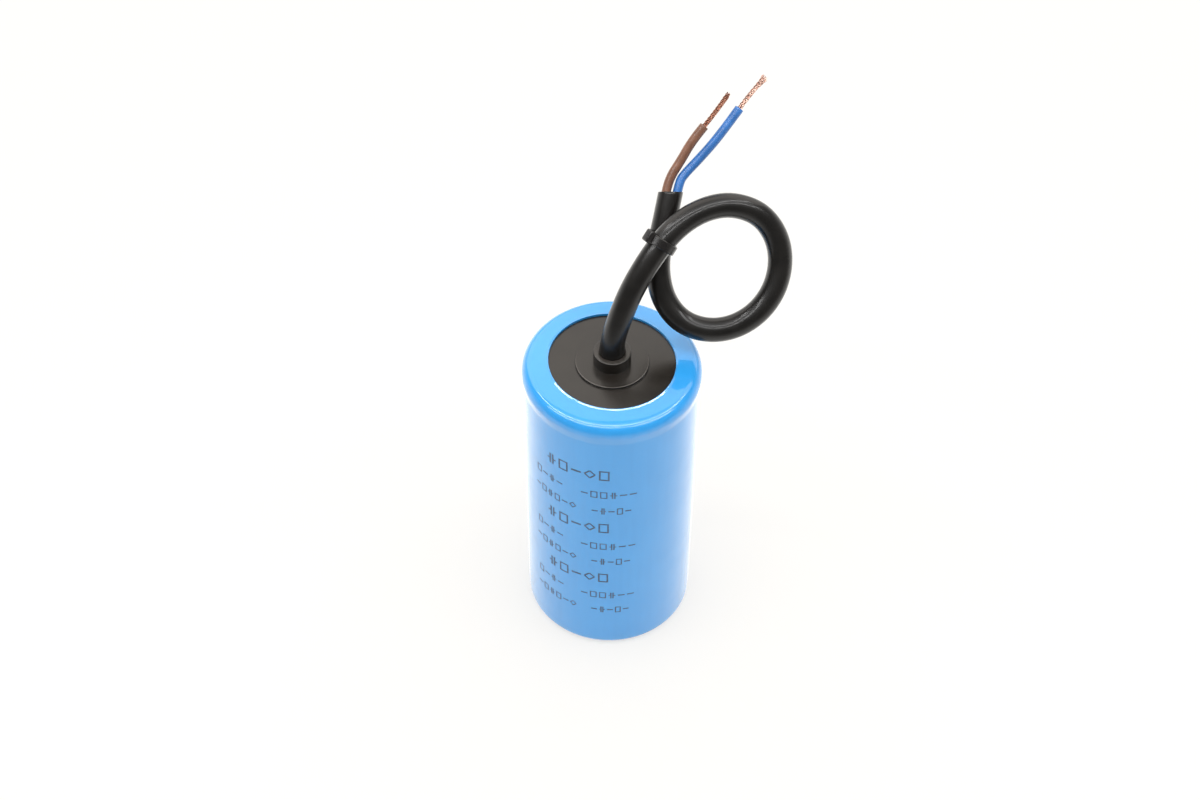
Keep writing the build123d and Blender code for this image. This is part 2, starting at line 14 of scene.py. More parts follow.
import bmesh
import bpy
from mathutils import Matrix, Vector, noise
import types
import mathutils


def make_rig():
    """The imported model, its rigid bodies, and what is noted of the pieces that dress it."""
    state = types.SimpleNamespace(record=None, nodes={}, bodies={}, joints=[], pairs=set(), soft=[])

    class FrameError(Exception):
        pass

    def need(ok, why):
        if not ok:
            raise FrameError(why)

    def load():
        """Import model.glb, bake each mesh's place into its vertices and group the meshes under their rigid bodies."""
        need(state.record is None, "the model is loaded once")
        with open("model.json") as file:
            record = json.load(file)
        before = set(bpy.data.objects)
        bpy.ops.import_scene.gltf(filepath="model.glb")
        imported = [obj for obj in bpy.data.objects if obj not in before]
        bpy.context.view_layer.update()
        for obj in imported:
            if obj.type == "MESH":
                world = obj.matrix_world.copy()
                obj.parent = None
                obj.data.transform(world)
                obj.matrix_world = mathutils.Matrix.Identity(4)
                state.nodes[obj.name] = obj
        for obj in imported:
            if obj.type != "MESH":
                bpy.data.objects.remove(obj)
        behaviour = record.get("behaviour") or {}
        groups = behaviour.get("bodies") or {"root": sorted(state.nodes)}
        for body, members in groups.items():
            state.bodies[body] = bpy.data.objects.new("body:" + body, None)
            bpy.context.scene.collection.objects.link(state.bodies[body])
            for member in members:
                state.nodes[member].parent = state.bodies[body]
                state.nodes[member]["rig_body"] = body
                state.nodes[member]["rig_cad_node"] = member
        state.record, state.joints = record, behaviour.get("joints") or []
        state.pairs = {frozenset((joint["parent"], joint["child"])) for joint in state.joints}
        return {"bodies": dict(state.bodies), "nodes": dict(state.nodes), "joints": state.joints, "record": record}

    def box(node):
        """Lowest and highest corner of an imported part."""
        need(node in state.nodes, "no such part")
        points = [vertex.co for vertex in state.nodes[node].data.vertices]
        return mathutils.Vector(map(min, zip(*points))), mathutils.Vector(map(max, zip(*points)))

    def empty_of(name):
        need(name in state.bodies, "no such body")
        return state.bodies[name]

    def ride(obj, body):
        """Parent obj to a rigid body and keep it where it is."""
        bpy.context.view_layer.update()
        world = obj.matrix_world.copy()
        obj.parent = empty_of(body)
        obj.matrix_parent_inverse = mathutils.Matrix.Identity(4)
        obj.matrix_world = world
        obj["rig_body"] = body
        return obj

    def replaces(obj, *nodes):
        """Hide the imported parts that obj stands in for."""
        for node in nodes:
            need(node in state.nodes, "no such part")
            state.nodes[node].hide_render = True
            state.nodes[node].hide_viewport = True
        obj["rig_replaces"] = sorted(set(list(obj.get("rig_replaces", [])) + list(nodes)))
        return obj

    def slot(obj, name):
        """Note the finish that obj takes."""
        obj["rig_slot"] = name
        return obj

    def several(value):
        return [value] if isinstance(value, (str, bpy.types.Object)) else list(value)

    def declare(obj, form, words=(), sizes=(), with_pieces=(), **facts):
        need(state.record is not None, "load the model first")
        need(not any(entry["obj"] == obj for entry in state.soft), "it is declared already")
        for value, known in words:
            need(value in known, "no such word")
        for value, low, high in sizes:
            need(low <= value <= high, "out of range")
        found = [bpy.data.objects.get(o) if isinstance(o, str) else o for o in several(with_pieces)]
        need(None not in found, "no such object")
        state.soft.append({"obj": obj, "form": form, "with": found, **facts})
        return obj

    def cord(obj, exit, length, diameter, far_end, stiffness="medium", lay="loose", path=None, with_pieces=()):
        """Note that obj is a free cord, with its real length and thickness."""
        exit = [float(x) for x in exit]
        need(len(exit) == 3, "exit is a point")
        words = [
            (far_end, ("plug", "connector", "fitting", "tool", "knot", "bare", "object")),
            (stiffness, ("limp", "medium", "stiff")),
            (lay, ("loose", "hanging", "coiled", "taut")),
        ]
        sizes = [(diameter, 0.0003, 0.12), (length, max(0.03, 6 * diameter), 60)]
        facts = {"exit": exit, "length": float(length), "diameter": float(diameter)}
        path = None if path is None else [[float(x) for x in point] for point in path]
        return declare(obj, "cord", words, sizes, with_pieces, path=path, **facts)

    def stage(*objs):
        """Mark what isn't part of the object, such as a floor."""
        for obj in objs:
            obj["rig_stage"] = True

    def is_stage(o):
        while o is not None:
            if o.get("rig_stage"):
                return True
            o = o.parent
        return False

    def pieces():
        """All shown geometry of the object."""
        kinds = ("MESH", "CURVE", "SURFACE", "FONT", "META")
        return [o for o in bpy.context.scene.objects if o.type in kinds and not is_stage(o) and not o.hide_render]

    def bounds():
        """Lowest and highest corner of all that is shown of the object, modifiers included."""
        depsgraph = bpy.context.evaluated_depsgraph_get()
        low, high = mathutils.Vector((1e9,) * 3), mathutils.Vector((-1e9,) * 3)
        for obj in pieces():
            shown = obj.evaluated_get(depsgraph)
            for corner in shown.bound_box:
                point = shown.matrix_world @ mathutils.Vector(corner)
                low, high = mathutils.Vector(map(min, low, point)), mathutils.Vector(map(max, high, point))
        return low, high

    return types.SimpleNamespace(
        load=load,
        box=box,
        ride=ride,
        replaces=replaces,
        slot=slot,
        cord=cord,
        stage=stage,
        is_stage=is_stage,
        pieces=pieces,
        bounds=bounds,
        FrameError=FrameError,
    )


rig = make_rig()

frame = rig.load()
cad_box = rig.bounds()
log = logging.getLogger("capacitor")

MM = 0.001
BODY = "root"
# Half the angle at a corner from which the corner counts as straight.
STRAIGHT = math.radians(89.9)
Pair = tuple[float, float]
Triple = tuple[float, float, float]
Colour = Triple
Route = tuple[Triple, ...]
Outline = list[Pair]
# What Term.ramp takes: low and high, then the start and the end where they aren't 0 and 1.
Ramp = tuple[float, ...]


# ---- Shader maths ----

class Term:
    """A socket in an expression; each operator on numbers adds one Math node."""

    def __init__(self, graph: "Graph", socket: bpy.types.NodeSocket) -> None:
        """Wrap one output socket of a graph's node."""
        self.graph = graph
        self.socket = socket

    def combine(self, operation: str, *operands: "Term | float") -> "Term":
        """Return what a Math node of that operation makes of the operands, in order."""
        return self.graph.add("ShaderNodeMath", {"operation": operation}, dict(enumerate(operands)))

    def __add__(self, other: "Term | float") -> "Term":
        """Return self + other."""
        return self.combine("ADD", self, other)

    def __sub__(self, other: "Term | float") -> "Term":
        """Return self - other."""
        return self.combine("SUBTRACT", self, other)

    def __rsub__(self, other: float) -> "Term":
        """Return other - self."""
        return self.combine("SUBTRACT", other, self)

    def __mul__(self, other: "Term | float") -> "Term":
        """Return self * other."""
        return self.combine("MULTIPLY", self, other)

    __radd__ = __add__
    __rmul__ = __mul__

    def wave(self) -> "Term":
        """Return the sine of self, in radians."""
        return self.combine("SINE", self)

    def larger(self, other: "Term") -> "Term":
        """Return the larger of self and other."""
        return self.combine("MAXIMUM", self, other)

    def ramp(self, low: float, high: float, start: float = 0.0, end: float = 1.0) -> "Term":
        """Map low..high smoothly to start..end.

        Args:
            low: value that gives start.
            high: value that gives end.
            start: result at and below low.
            end: result at and above high.

        Returns:
            The mapped value.
        """
        limits = {"From Min": low, "From Max": high, "To Min": start, "To Max": end, "Value": self}
        return self.graph.add("ShaderNodeMapRange", {"interpolation_type": "SMOOTHSTEP"}, limits)


class Graph:
    """The node tree of one material or world."""

    def __init__(self, owner: bpy.types.Material | bpy.types.World) -> None:
        """Start an empty tree in its owner.

        Args:
            owner: the new material or world that the tree belongs to.
        """
        self.owner = owner
        owner.use_nodes = True
        self.tree = owner.node_tree
        self.tree.nodes.clear()

    def add(self, kind: str, settings: dict | None = None, inputs: dict | None = None,
            output: int | str = 0) -> Term | None:
        """Add any node: its settings first, then its sockets.

        Args:
            kind: the node's type.
            settings: the node's own properties.
            inputs: values or terms by socket name or number.
            output: the output socket to return.

        Returns:
            That output as a term, or None from a node that has no output.
        """
        node = self.tree.nodes.new(kind)
        for name, value in (settings or {}).items():
            setattr(node, name, value)
        for name, value in (inputs or {}).items():
            if isinstance(value, Term):
                self.tree.links.new(value.socket, node.inputs[name])
            elif isinstance(value, tuple) and node.inputs[name].type == "RGBA":
                node.inputs[name].default_value = (*value, 1.0)
            else:
                node.inputs[name].default_value = value
        return Term(self, node.outputs[output]) if node.outputs else None

    def place(self) -> Term:
        """Return the point's place in the model's frame, in metres."""
        return self.add("ShaderNodeTexCoord", output="Object")

    def part(self, vector: Term, name: str) -> Term:
        """Return one coordinate of a vector, "X", "Y" or "Z"."""
        return self.add("ShaderNodeSeparateXYZ", inputs={0: vector}, output=name)

    def scaled(self, vector: Term, factors: Triple) -> Term:
        """Return a vector with each coordinate multiplied by its own factor."""
        return self.add("ShaderNodeVectorMath", {"operation": "MULTIPLY"}, {0: vector, 1: factors})

    def radius(self) -> Term:
        """Return the distance from the can's axis, in metres."""
        flat = self.scaled(self.place(), (1.0, 1.0, 0.0))
        return self.add("ShaderNodeVectorMath", {"operation": "LENGTH"}, {0: flat}, "Value")

    def noise(self, size: float, detail: float = 2.0, stretch: Triple = (1.0, 1.0, 1.0)) -> Term:
        """Add a noise, 0..1, about 0.5.

        Args:
            size: how large its features are, in metres.
            detail: octaves of finer noise in it.
            stretch: how many times longer its features are along each axis.

        Returns:
            The noise's value.
        """
        where = self.scaled(self.place(), tuple(1.0 / part for part in stretch))
        settings = {"Vector": where, "Scale": 1.0 / size, "Detail": detail}
        return self.add("ShaderNodeTexNoise", inputs=settings)

    def mix(self, share: Term, first: Colour | Term, second: Colour | Term) -> Term:
        """Return a colour between first, at share 0, and second, at share 1."""
        return self.add("ShaderNodeMix", {"data_type": "RGBA"}, {0: share, 6: first, 7: second}, 2)

    def bump(self, height: Term, depth: float) -> Term:
        """Return a normal for a height of 0..1 that stands depth metres high."""
        return self.add("ShaderNodeBump", inputs={"Height": height, "Strength": 1.0, "Distance": depth})

    def finish(self, inputs: dict) -> bpy.types.Material:
        """Close the tree with a Principled shader.

        Args:
            inputs: values or terms by the shader's socket names.

        Returns:
            The tree's material.
        """
        shader = self.add("ShaderNodeBsdfPrincipled", inputs=inputs)
        self.add("ShaderNodeOutputMaterial", inputs={"Surface": shader})
        return self.owner


# ---- Finishes ----

@dataclass(frozen=True)
class Moulded:
    """A plastic, rubber or board: its colour drifts a little, and its skin has a fine grain."""

    name: str
    colour: Colour
    roughness: float
    drift: float = 0.12
    drift_size: float = 7 * MM
    drift_span: Ramp = (0.3, 0.7)
    grain_size: float = 0.5 * MM
    grain_depth: float = 0.01 * MM
    smudge_span: Ramp = (0.3, 0.75)
    clean: float = 0.88
    smudged: float = 0.25
    level: float = 0.5
    coat: float = 0.0
    coat_roughness: float = 0.1
    stretch: Triple = (1.0, 1.0, 1.0)

    def tone(self, graph: Graph) -> Term:
        """Make the base colour, which drifts between a darker and a lighter tone.

        Args:
            graph: the finish's node tree.

        Returns:
            The colour.
        """
        drift = graph.noise(self.drift_size, detail=3.0, stretch=self.stretch).ramp(*self.drift_span)
        dark = tuple(part * (1 - self.drift) for part in self.colour)
        light = tuple(min(1.0, part * (1 + self.drift)) for part in self.colour)
        return graph.mix(drift, dark, light)

    def material(self) -> bpy.types.Material:
        """Build the finish's node tree.

        Returns:
            Its material.
        """
        graph = Graph(bpy.data.materials.new(self.name))
        grain = graph.noise(self.grain_size, stretch=self.stretch)
        smudge = graph.noise(2 * self.drift_size, detail=3.0).ramp(*self.smudge_span)
        return graph.finish({
            "Base Color": self.tone(graph),
            "Roughness": smudge * (self.smudged * self.roughness) + self.clean * self.roughness,
            "Specular IOR Level": self.level,
            "Coat Weight": self.coat,
            "Coat Roughness": self.coat_roughness,
            "Normal": graph.bump(grain, self.grain_depth),
        })


@dataclass(frozen=True)
class PaintedHighlightMoulding(Moulded):
    """A dark moulding with a painted highlight on the edge of its round step and on its highest lip."""

    # Colour of the painted highlight on the step's edge and the lip.
    painted_highlight: Colour = (0.08, 0.072, 0.064)
    step_radius: float = 10.4 * MM
    line: float = 0.36 * MM
    line_soft: float = 0.1 * MM
    soft: float = 0.05 * MM
    lip_depth: float = 0.25 * MM
    # How strong the painted highlight on the lip is.
    lip_highlight_share: float = 0.45
    # Noise that breaks the painted highlight into patches.
    highlight_patch_size: float = 1.5 * MM
    highlight_patch_span: Ramp = (0.2, 0.6, 0.5, 1.0)
    # Keeps the painted highlight to the front of the cover and fades it out towards the back.
    highlight_front_span: Ramp = (-6 * MM, 4 * MM, 1.0, 0.0)

    def tone(self, graph: Graph) -> Term:
        """Make the base colour, with the painted highlight on the step's edge and the lip mixed in.

        Args:
            graph: the finish's node tree.

        Returns:
            The colour.
        """
        inner, outer = self.step_radius - self.line, self.step_radius - 0.5 * self.line
        radius = graph.radius()
        # Painted highlight: a pale ring on the step's rounded edge.
        edge = radius.ramp(inner - self.line_soft, inner + self.soft)
        edge *= radius.ramp(outer, outer + self.soft, 1.0, 0.0)
        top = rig.box("cover")[1].z
        height = graph.part(graph.place(), "Z")
        # Painted highlight on the gland's top lip.
        lip = height.ramp(top - self.lip_depth, top - self.soft, 0.0, self.lip_highlight_share)
        # Break the painted highlight into patches and keep it to the front.
        highlight_patches = graph.noise(self.highlight_patch_size, detail=3.0).ramp(*self.highlight_patch_span)
        highlight_patches *= graph.part(graph.place(), "Y").ramp(*self.highlight_front_span)
        # Mix the painted highlight into the resin's own colour.
        return graph.mix((edge + lip) * highlight_patches, super().tone(graph), self.painted_highlight)


@dataclass(frozen=True)
class ShrunkFilm:
    """Glossy shrunk PVC film: even blue, with drawn streaks up the can and a faint orange peel."""

    name: str
    colour: Colour
    deep: Colour
    roughness: float
    streak_size: float = 2.2 * MM
    streak_stretch: Triple = (1.0, 1.0, 14.0)
    streak_span: Ramp = (0.35, 0.7)
    streak_share: float = 0.35
    cloud_size: float = 18 * MM
    cloud_span: Ramp = (0.3, 0.7)
    cloud_share: float = 0.45
    smudge_size: float = 9 * MM
    smudge_span: Ramp = (0.35, 0.75)
    smudged: float = 0.08
    peel_size: float = 1.6 * MM
    peel_depth: float = 0.003 * MM
    peel_share: float = 0.7
    level: float = 0.25
    coat_roughness: float = 0.02
    coat_ior: float = 1.58

    def material(self) -> bpy.types.Material:
        """Build the finish's node tree.

        Returns:
            Its material.
        """
        graph = Graph(bpy.data.materials.new(self.name))
        streaks = graph.noise(self.streak_size, stretch=self.streak_stretch).ramp(*self.streak_span)
        cloud = graph.noise(self.cloud_size).ramp(*self.cloud_span)
        peel = graph.noise(self.peel_size)
        smudge = graph.noise(self.smudge_size, detail=4.0).ramp(*self.smudge_span)
        deepened = streaks * self.streak_share + cloud * self.cloud_share
        return graph.finish({
            "Base Color": graph.mix(deepened, self.colour, self.deep),
            "Roughness": smudge * self.smudged + self.roughness,
            "Specular IOR Level": self.level,
            "Coat Weight": 1.0,
            "Coat Roughness": self.coat_roughness,
            "Coat IOR": self.coat_ior,
            "Normal": graph.bump(peel * self.peel_share + streaks * (1 - self.peel_share), self.peel_depth),
        })


@dataclass(frozen=True)
class Metal:
    """Drawn or plated metal with fine lines along one axis and dull spots."""

    name: str
    colour: Colour
    dull: Colour
    roughness: float
    line_size: float = 0.25 * MM
    stretch: Triple = (1.0, 1.0, 20.0)
    depth: float = 0.004 * MM
    spot_size: float = 5 * MM
    spot_span: Ramp = (0.45, 0.8)
    spot_dulling: float = 0.2
    line_dulling: float = 0.1

    def material(self) -> bpy.types.Material:
        """Build the finish's node tree.

        Returns:
            Its material.
        """
        graph = Graph(bpy.data.materials.new(self.name))
        lines = graph.noise(self.line_size, stretch=self.stretch)
        spots = graph.noise(self.spot_size, detail=4.0).ramp(*self.spot_span)
        return graph.finish({
            "Base Color": graph.mix(spots, self.colour, self.dull),
            "Metallic": 1.0,
            "Roughness": spots * self.spot_dulling + lines * self.line_dulling + self.roughness,
            "Normal": graph.bump(lines, self.depth),
        })


@dataclass(frozen=True)
class WoundEnd:
    """The rolled foil and paper of a winding: fine rings of two tones round the axis."""

    name: str
    foil: Colour
    paper: Colour
    pitch: float = 0.35 * MM
    slack: float = 4.0
    slack_size: float = 3 * MM
    tone_span: Ramp = (-0.6, 0.6)
    roughness_span: Ramp = (-1.0, 1.0, 0.45, 0.8)
    depth: float = 0.05 * MM

    def material(self) -> bpy.types.Material:
        """Build the finish's node tree.

        Returns:
            Its material.
        """
        graph = Graph(bpy.data.materials.new(self.name))
        turns = (graph.radius() * (math.tau / self.pitch) + graph.noise(self.slack_size) * self.slack).wave()
        return graph.finish({
            "Base Color": graph.mix(turns.ramp(*self.tone_span), self.foil, self.paper),
            "Roughness": turns.ramp(*self.roughness_span),
            "Normal": graph.bump(turns, self.depth),
        })


FILM = ShrunkFilm("blue_film", (0.030, 0.34, 0.79), (0.025, 0.315, 0.75), 0.28)
INK = Moulded("print_ink", (0.035, 0.10, 0.19), 0.42, drift=0.25, drift_size=1.2 * MM)
# The cover's resin, with a painted highlight on its step's edge and its lip.
COVER = PaintedHighlightMoulding("cover_resin", (0.015, 0.0125, 0.010), 0.24, drift=0.15, grain_size=0.35 * MM)
JACKET = Moulded("cable_jacket", (0.0075, 0.0065, 0.0055), 0.38, drift=0.2, drift_size=5 * MM,
                 grain_depth=0.002 * MM, level=0.26, coat=0.4, coat_roughness=0.17)
NYLON = Moulded("tie_nylon", (0.011, 0.0095, 0.009), 0.27, drift=0.2, drift_size=3 * MM,
                grain_depth=0.004 * MM)
BROWN = Moulded("brown_insulation", (0.203, 0.089, 0.050), 0.42, drift=0.14, drift_size=3 * MM,
                grain_depth=0.006 * MM, coat=0.3, coat_roughness=0.25)
BLUE = Moulded("blue_insulation", (0.030, 0.155, 0.46), 0.40, drift=0.12, drift_size=3 * MM,
               grain_depth=0.006 * MM, coat=0.3, coat_roughness=0.25)
# Darker, duller copper for the brown core's strands; the blue core's copper is brighter.
DARKER_COPPER = Metal("worn_copper", (0.53, 0.26, 0.177), (0.24, 0.095, 0.065), 0.26, depth=0.002 * MM)
BRIGHT_COPPER = Metal("bright_copper", (0.80, 0.55, 0.46), (0.50, 0.27, 0.21), 0.16, depth=0.002 * MM)
CAN = Metal("drawn_aluminium", (0.80, 0.81, 0.83), (0.62, 0.63, 0.65), 0.28)
TERMINAL = Metal("terminal_aluminium", (0.82, 0.83, 0.85), (0.66, 0.66, 0.68), 0.22,
                 stretch=(20.0, 1.0, 1.0))
TINNED = Metal("tinned_steel", (0.66, 0.66, 0.63), (0.48, 0.47, 0.44), 0.32, stretch=(1.0, 1.0, 12.0))
SOLDER = Metal("solder", (0.72, 0.73, 0.74), (0.52, 0.52, 0.52), 0.18, line_size=0.6 * MM,
               stretch=(1.0, 1.0, 1.0))
FIBRE = Moulded("fibre_board", (0.055, 0.055, 0.060), 0.75, drift=0.3, drift_size=2 * MM,
                grain_depth=0.03 * MM)
NATURAL = Moulded("natural_moulding", (0.70, 0.70, 0.64), 0.45, drift=0.05)
PHENOLIC = Moulded("phenolic_board", (0.17, 0.075, 0.035), 0.38, drift=0.25, drift_size=3 * MM)
SEAL = Moulded("seal_rubber", (0.022, 0.022, 0.022), 0.65, grain_depth=0.02 * MM)
VENT = Moulded("vent_rubber", (0.27, 0.035, 0.025), 0.60, grain_depth=0.02 * MM)
WRAP = Moulded("wrap_tape", (0.46, 0.33, 0.15), 0.30, drift=0.15, stretch=(1.0, 1.0, 0.2), coat=0.5)
ROLL = WoundEnd("foil_and_paper", (0.62, 0.62, 0.60), (0.42, 0.33, 0.20))


# ---- Geometry ----

def rounded(corners: Sequence[Triple], step: float = math.radians(9)) -> Outline:
    """Turn a polyline with a radius at each corner into points.

    Args:
        corners: (radius from the axis, height, corner radius), in order.
        step: the largest turn between two points of an arc.

    Returns:
        The outline's points.
    """
    outline: Outline = [corners[0][:2]]
    for before, here, after in zip(corners, corners[1:], corners[2:]):
        middle = Vector(here[:2])
        back = (Vector(before[:2]) - middle).normalized()
        on = (Vector(after[:2]) - middle).normalized()
        half = back.angle(on) / 2
        bend = here[2]
        if bend == 0 or half > STRAIGHT:
            outline.append(here[:2])
            continue
        centre = middle + (back + on).normalized() * (bend / math.sin(half))
        reach = bend / math.tan(half)
        start, end = middle + back * reach - centre, middle + on * reach - centre
        sweep = math.pi - 2 * half
        count = max(2, math.ceil(sweep / step))
        for i in range(count + 1):
            turned = sweep * i / count
            arm = (start * math.sin(sweep - turned) + end * math.sin(turned)) / math.sin(sweep)
            outline.append(tuple(centre + arm))
    outline.append(corners[-1][:2])
    return outline


def spaced(outline: Outline, longest: float) -> Outline:
    """Add points to an outline so that its steps are short.

    Args:
        outline: the points.
        longest: the longest step that may stay.

    Returns:
        The old points and the new ones between them.
    """
    points: Outline = []
    for (r, z), (r_next, z_next) in zip(outline, outline[1:]):
        count = max(1, math.ceil(math.hypot(r_next - r, z_next - z) / longest))
        points += [(r + (r_next - r) * i / count, z + (z_next - z) * i / count) for i in range(count)]
    return points + [outline[-1]]


def smoothstep(low: float, high: float, value: float) -> float:
    """Return 0 below low, 1 above high and a smooth rise between."""
    share = min(1.0, max(0.0, (value - low) / (high - low)))
    return share * share * (3 - 2 * share)


class Piece:
    """A mesh in the making: rows of points that are joined into quads."""

    def __init__(self, name: str) -> None:
        """Start an empty mesh.

        Args:
            name: the object's name.
        """
        self.name = name
        self.points: list[Vector] = []
        self.faces: list[tuple[int, ...]] = []

    def loft(self, rows: Sequence[Sequence[Vector]], closed: bool = False, ends: bool = True) -> None:
        """Join rows of points, each a closed ring, with quads.

        Args:
            rows: rings with the same number of points.
            closed: whether the last ring joins the first.
            ends: whether the first and the last ring are filled, when not closed.
        """
        first = len(self.points)
        width = len(rows[0])
        for row in rows:
            self.points += row
        count = len(rows)
        for i in range(count if closed else count - 1):
            here, there = first + i * width, first + (i + 1) % count * width
            for j in range(width):
                k = (j + 1) % width
                self.faces.append((here + j, here + k, there + k, there + j))
        if ends and not closed:
            self.faces.append(tuple(first + j for j in reversed(range(width))))
            self.faces.append(tuple(first + (count - 1) * width + j for j in range(width)))

    def build(self, finish: bpy.types.Material, slot: str, replaced: Sequence[str] = (),
              crease: float = 40.0) -> bpy.types.Object:
        """Make the object and put it in the scene.

        Args:
            finish: its material.
            slot: the record's material slot that it takes its finish from.
            replaced: the CAD nodes that it stands for.
            crease: edges that turn by more than this many degrees stay sharp.

        Returns:
            The new object.
        """
        mesh = bpy.data.meshes.new(self.name)
        mesh.from_pydata(self.points, [], self.faces)
        work = bmesh.new()
        work.from_mesh(mesh)
        bmesh.ops.recalc_face_normals(work, faces=work.faces)
        work.to_mesh(mesh)
        work.free()
        mesh.shade_smooth()
        mesh.set_sharp_from_angle(angle=math.radians(crease))
        mesh.materials.append(finish)
        piece = bpy.data.objects.new(self.name, mesh)
        bpy.context.scene.collection.objects.link(piece)
        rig.ride(piece, BODY)
        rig.slot(piece, slot)
        if replaced:
            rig.replaces(piece, *replaced)
        log.info("%s: %d points, %d faces", self.name, len(mesh.vertices), len(mesh.polygons))
        return piece


class Path:
    """A smooth line through space with a frame at each of its points, which never twists."""

    def __init__(self, name: str, route: Sequence[Vector], fineness: int = 16) -> None:
        """Read the line from a NURBS spline.

        Args:
            name: name of the spline.
            route: its control points.
            fineness: points for each span of the spline.
        """
        curve = bpy.data.curves.new(name, "CURVE")
        curve.dimensions = "3D"
        spline = curve.splines.new("NURBS")
        spline.points.add(len(route) - 1)
        for point, place in zip(spline.points, route):
            point.co = (*place, 1.0)
        spline.order_u = 3
        spline.use_endpoint_u = True
        spline.resolution_u = fineness
        holder = bpy.data.objects.new(name, curve)
        line = bpy.data.meshes.new_from_object(holder)
        self.points = [vertex.co.copy() for vertex in line.vertices]
        bpy.data.objects.remove(holder)
        bpy.data.meshes.remove(line)
        self.along = self._directions()
        self.side = self._sides()
        self.reach = [0.0]
        for before, here in zip(self.points, self.points[1:]):
            self.reach.append(self.reach[-1] + (here - before).length)

    @property
    def length(self) -> float:
        """The line's length in metres."""
        return self.reach[-1]

    def _directions(self) -> list[Vector]:
        """Work out the line's direction.

        Returns:
            The direction at each point.
        """
        last = len(self.points) - 1
        pairs = [(max(0, i - 1), min(last, i + 1)) for i in range(last + 1)]
        return [(self.points[b] - self.points[a]).normalized() for a, b in pairs]

    def _sides(self) -> list[Vector]:
        """Carry a direction square to the line along it, without twist.

        Returns:
            That direction at each point.
        """
        sides = [self.along[0].orthogonal().normalized()]
        for before, here in zip(self.along, self.along[1:]):
            sides.append((before.rotation_difference(here) @ sides[-1]).normalized())
        return sides

    def arm(self, index: int, angle: float) -> Vector:
        """Return the direction square to the line at a point, at an angle round it."""
        side = self.side[index]
        return side * math.cos(angle) + self.along[index].cross(side) * math.sin(angle)

    def ring(self, index: int, radius: float, count: int) -> list[Vector]:
        """Return a ring of count points of that radius round a point of the line."""
        return [self.points[index] + self.arm(index, math.tau * i / count) * radius for i in range(count)]

    def nearest(self, place: Vector, low: float, high: float) -> int:
        """Return the point nearest to place, between two shares of the length."""
        allowed = [i for i, reach in enumerate(self.reach) if low <= reach / self.length <= high]
        return min(allowed, key=lambda i: (self.points[i] - place).length)


def dress(node: str, finish: bpy.types.Material) -> None:
    """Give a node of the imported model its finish.

    Args:
        node: the node's name.
        finish: its material.
    """
    materials = frame["nodes"][node].data.materials
    materials.clear()
    materials.append(finish)
    log.info("%s: dressed in %s", node, finish.name)


# ---- Sleeve ----

@dataclass(frozen=True)
class Unevenness:
    """How far the film lies off its plain outline, and where each unevenness fades.

    Attributes:
        mouth_end: how far inside the body's radius the oval mouth has faded out.
        ripple, ripple_turns: height of the lip's ripple, and how fast it turns round the can.
        lean, lean_end: rise of the rim at the back, which is full this far inside the body.
        wave, wave_turns, wave_rate: the body's wave, and how fast it turns round and up the can.
        wave_foot, wave_drop: the heights between which it begins, and how far below the top it ends.
        flank, flank_turns: the wave of the flank under the rim.
        flank_foot, flank_head: the depths below the top between which it begins and ends.
        inside: how far behind the film's inner face a point still counts as the side's.
    """

    mouth_end: float = 1 * MM
    ripple: float = 0.02 * MM
    ripple_turns: float = 5.0
    lean: float = 0.35 * MM
    lean_end: float = 2 * MM
    wave: float = 0.035 * MM
    wave_turns: float = 2.2
    wave_rate: float = 60.0
    wave_foot: Pair = (4 * MM, 12 * MM)
    wave_drop: float = 5 * MM
    flank: float = 0.10 * MM
    flank_turns: float = 7.0
    flank_foot: Pair = (7.0 * MM, 4.8 * MM)
    flank_head: Pair = (4.4 * MM, 3.4 * MM)
    inside: float = 0.1 * MM


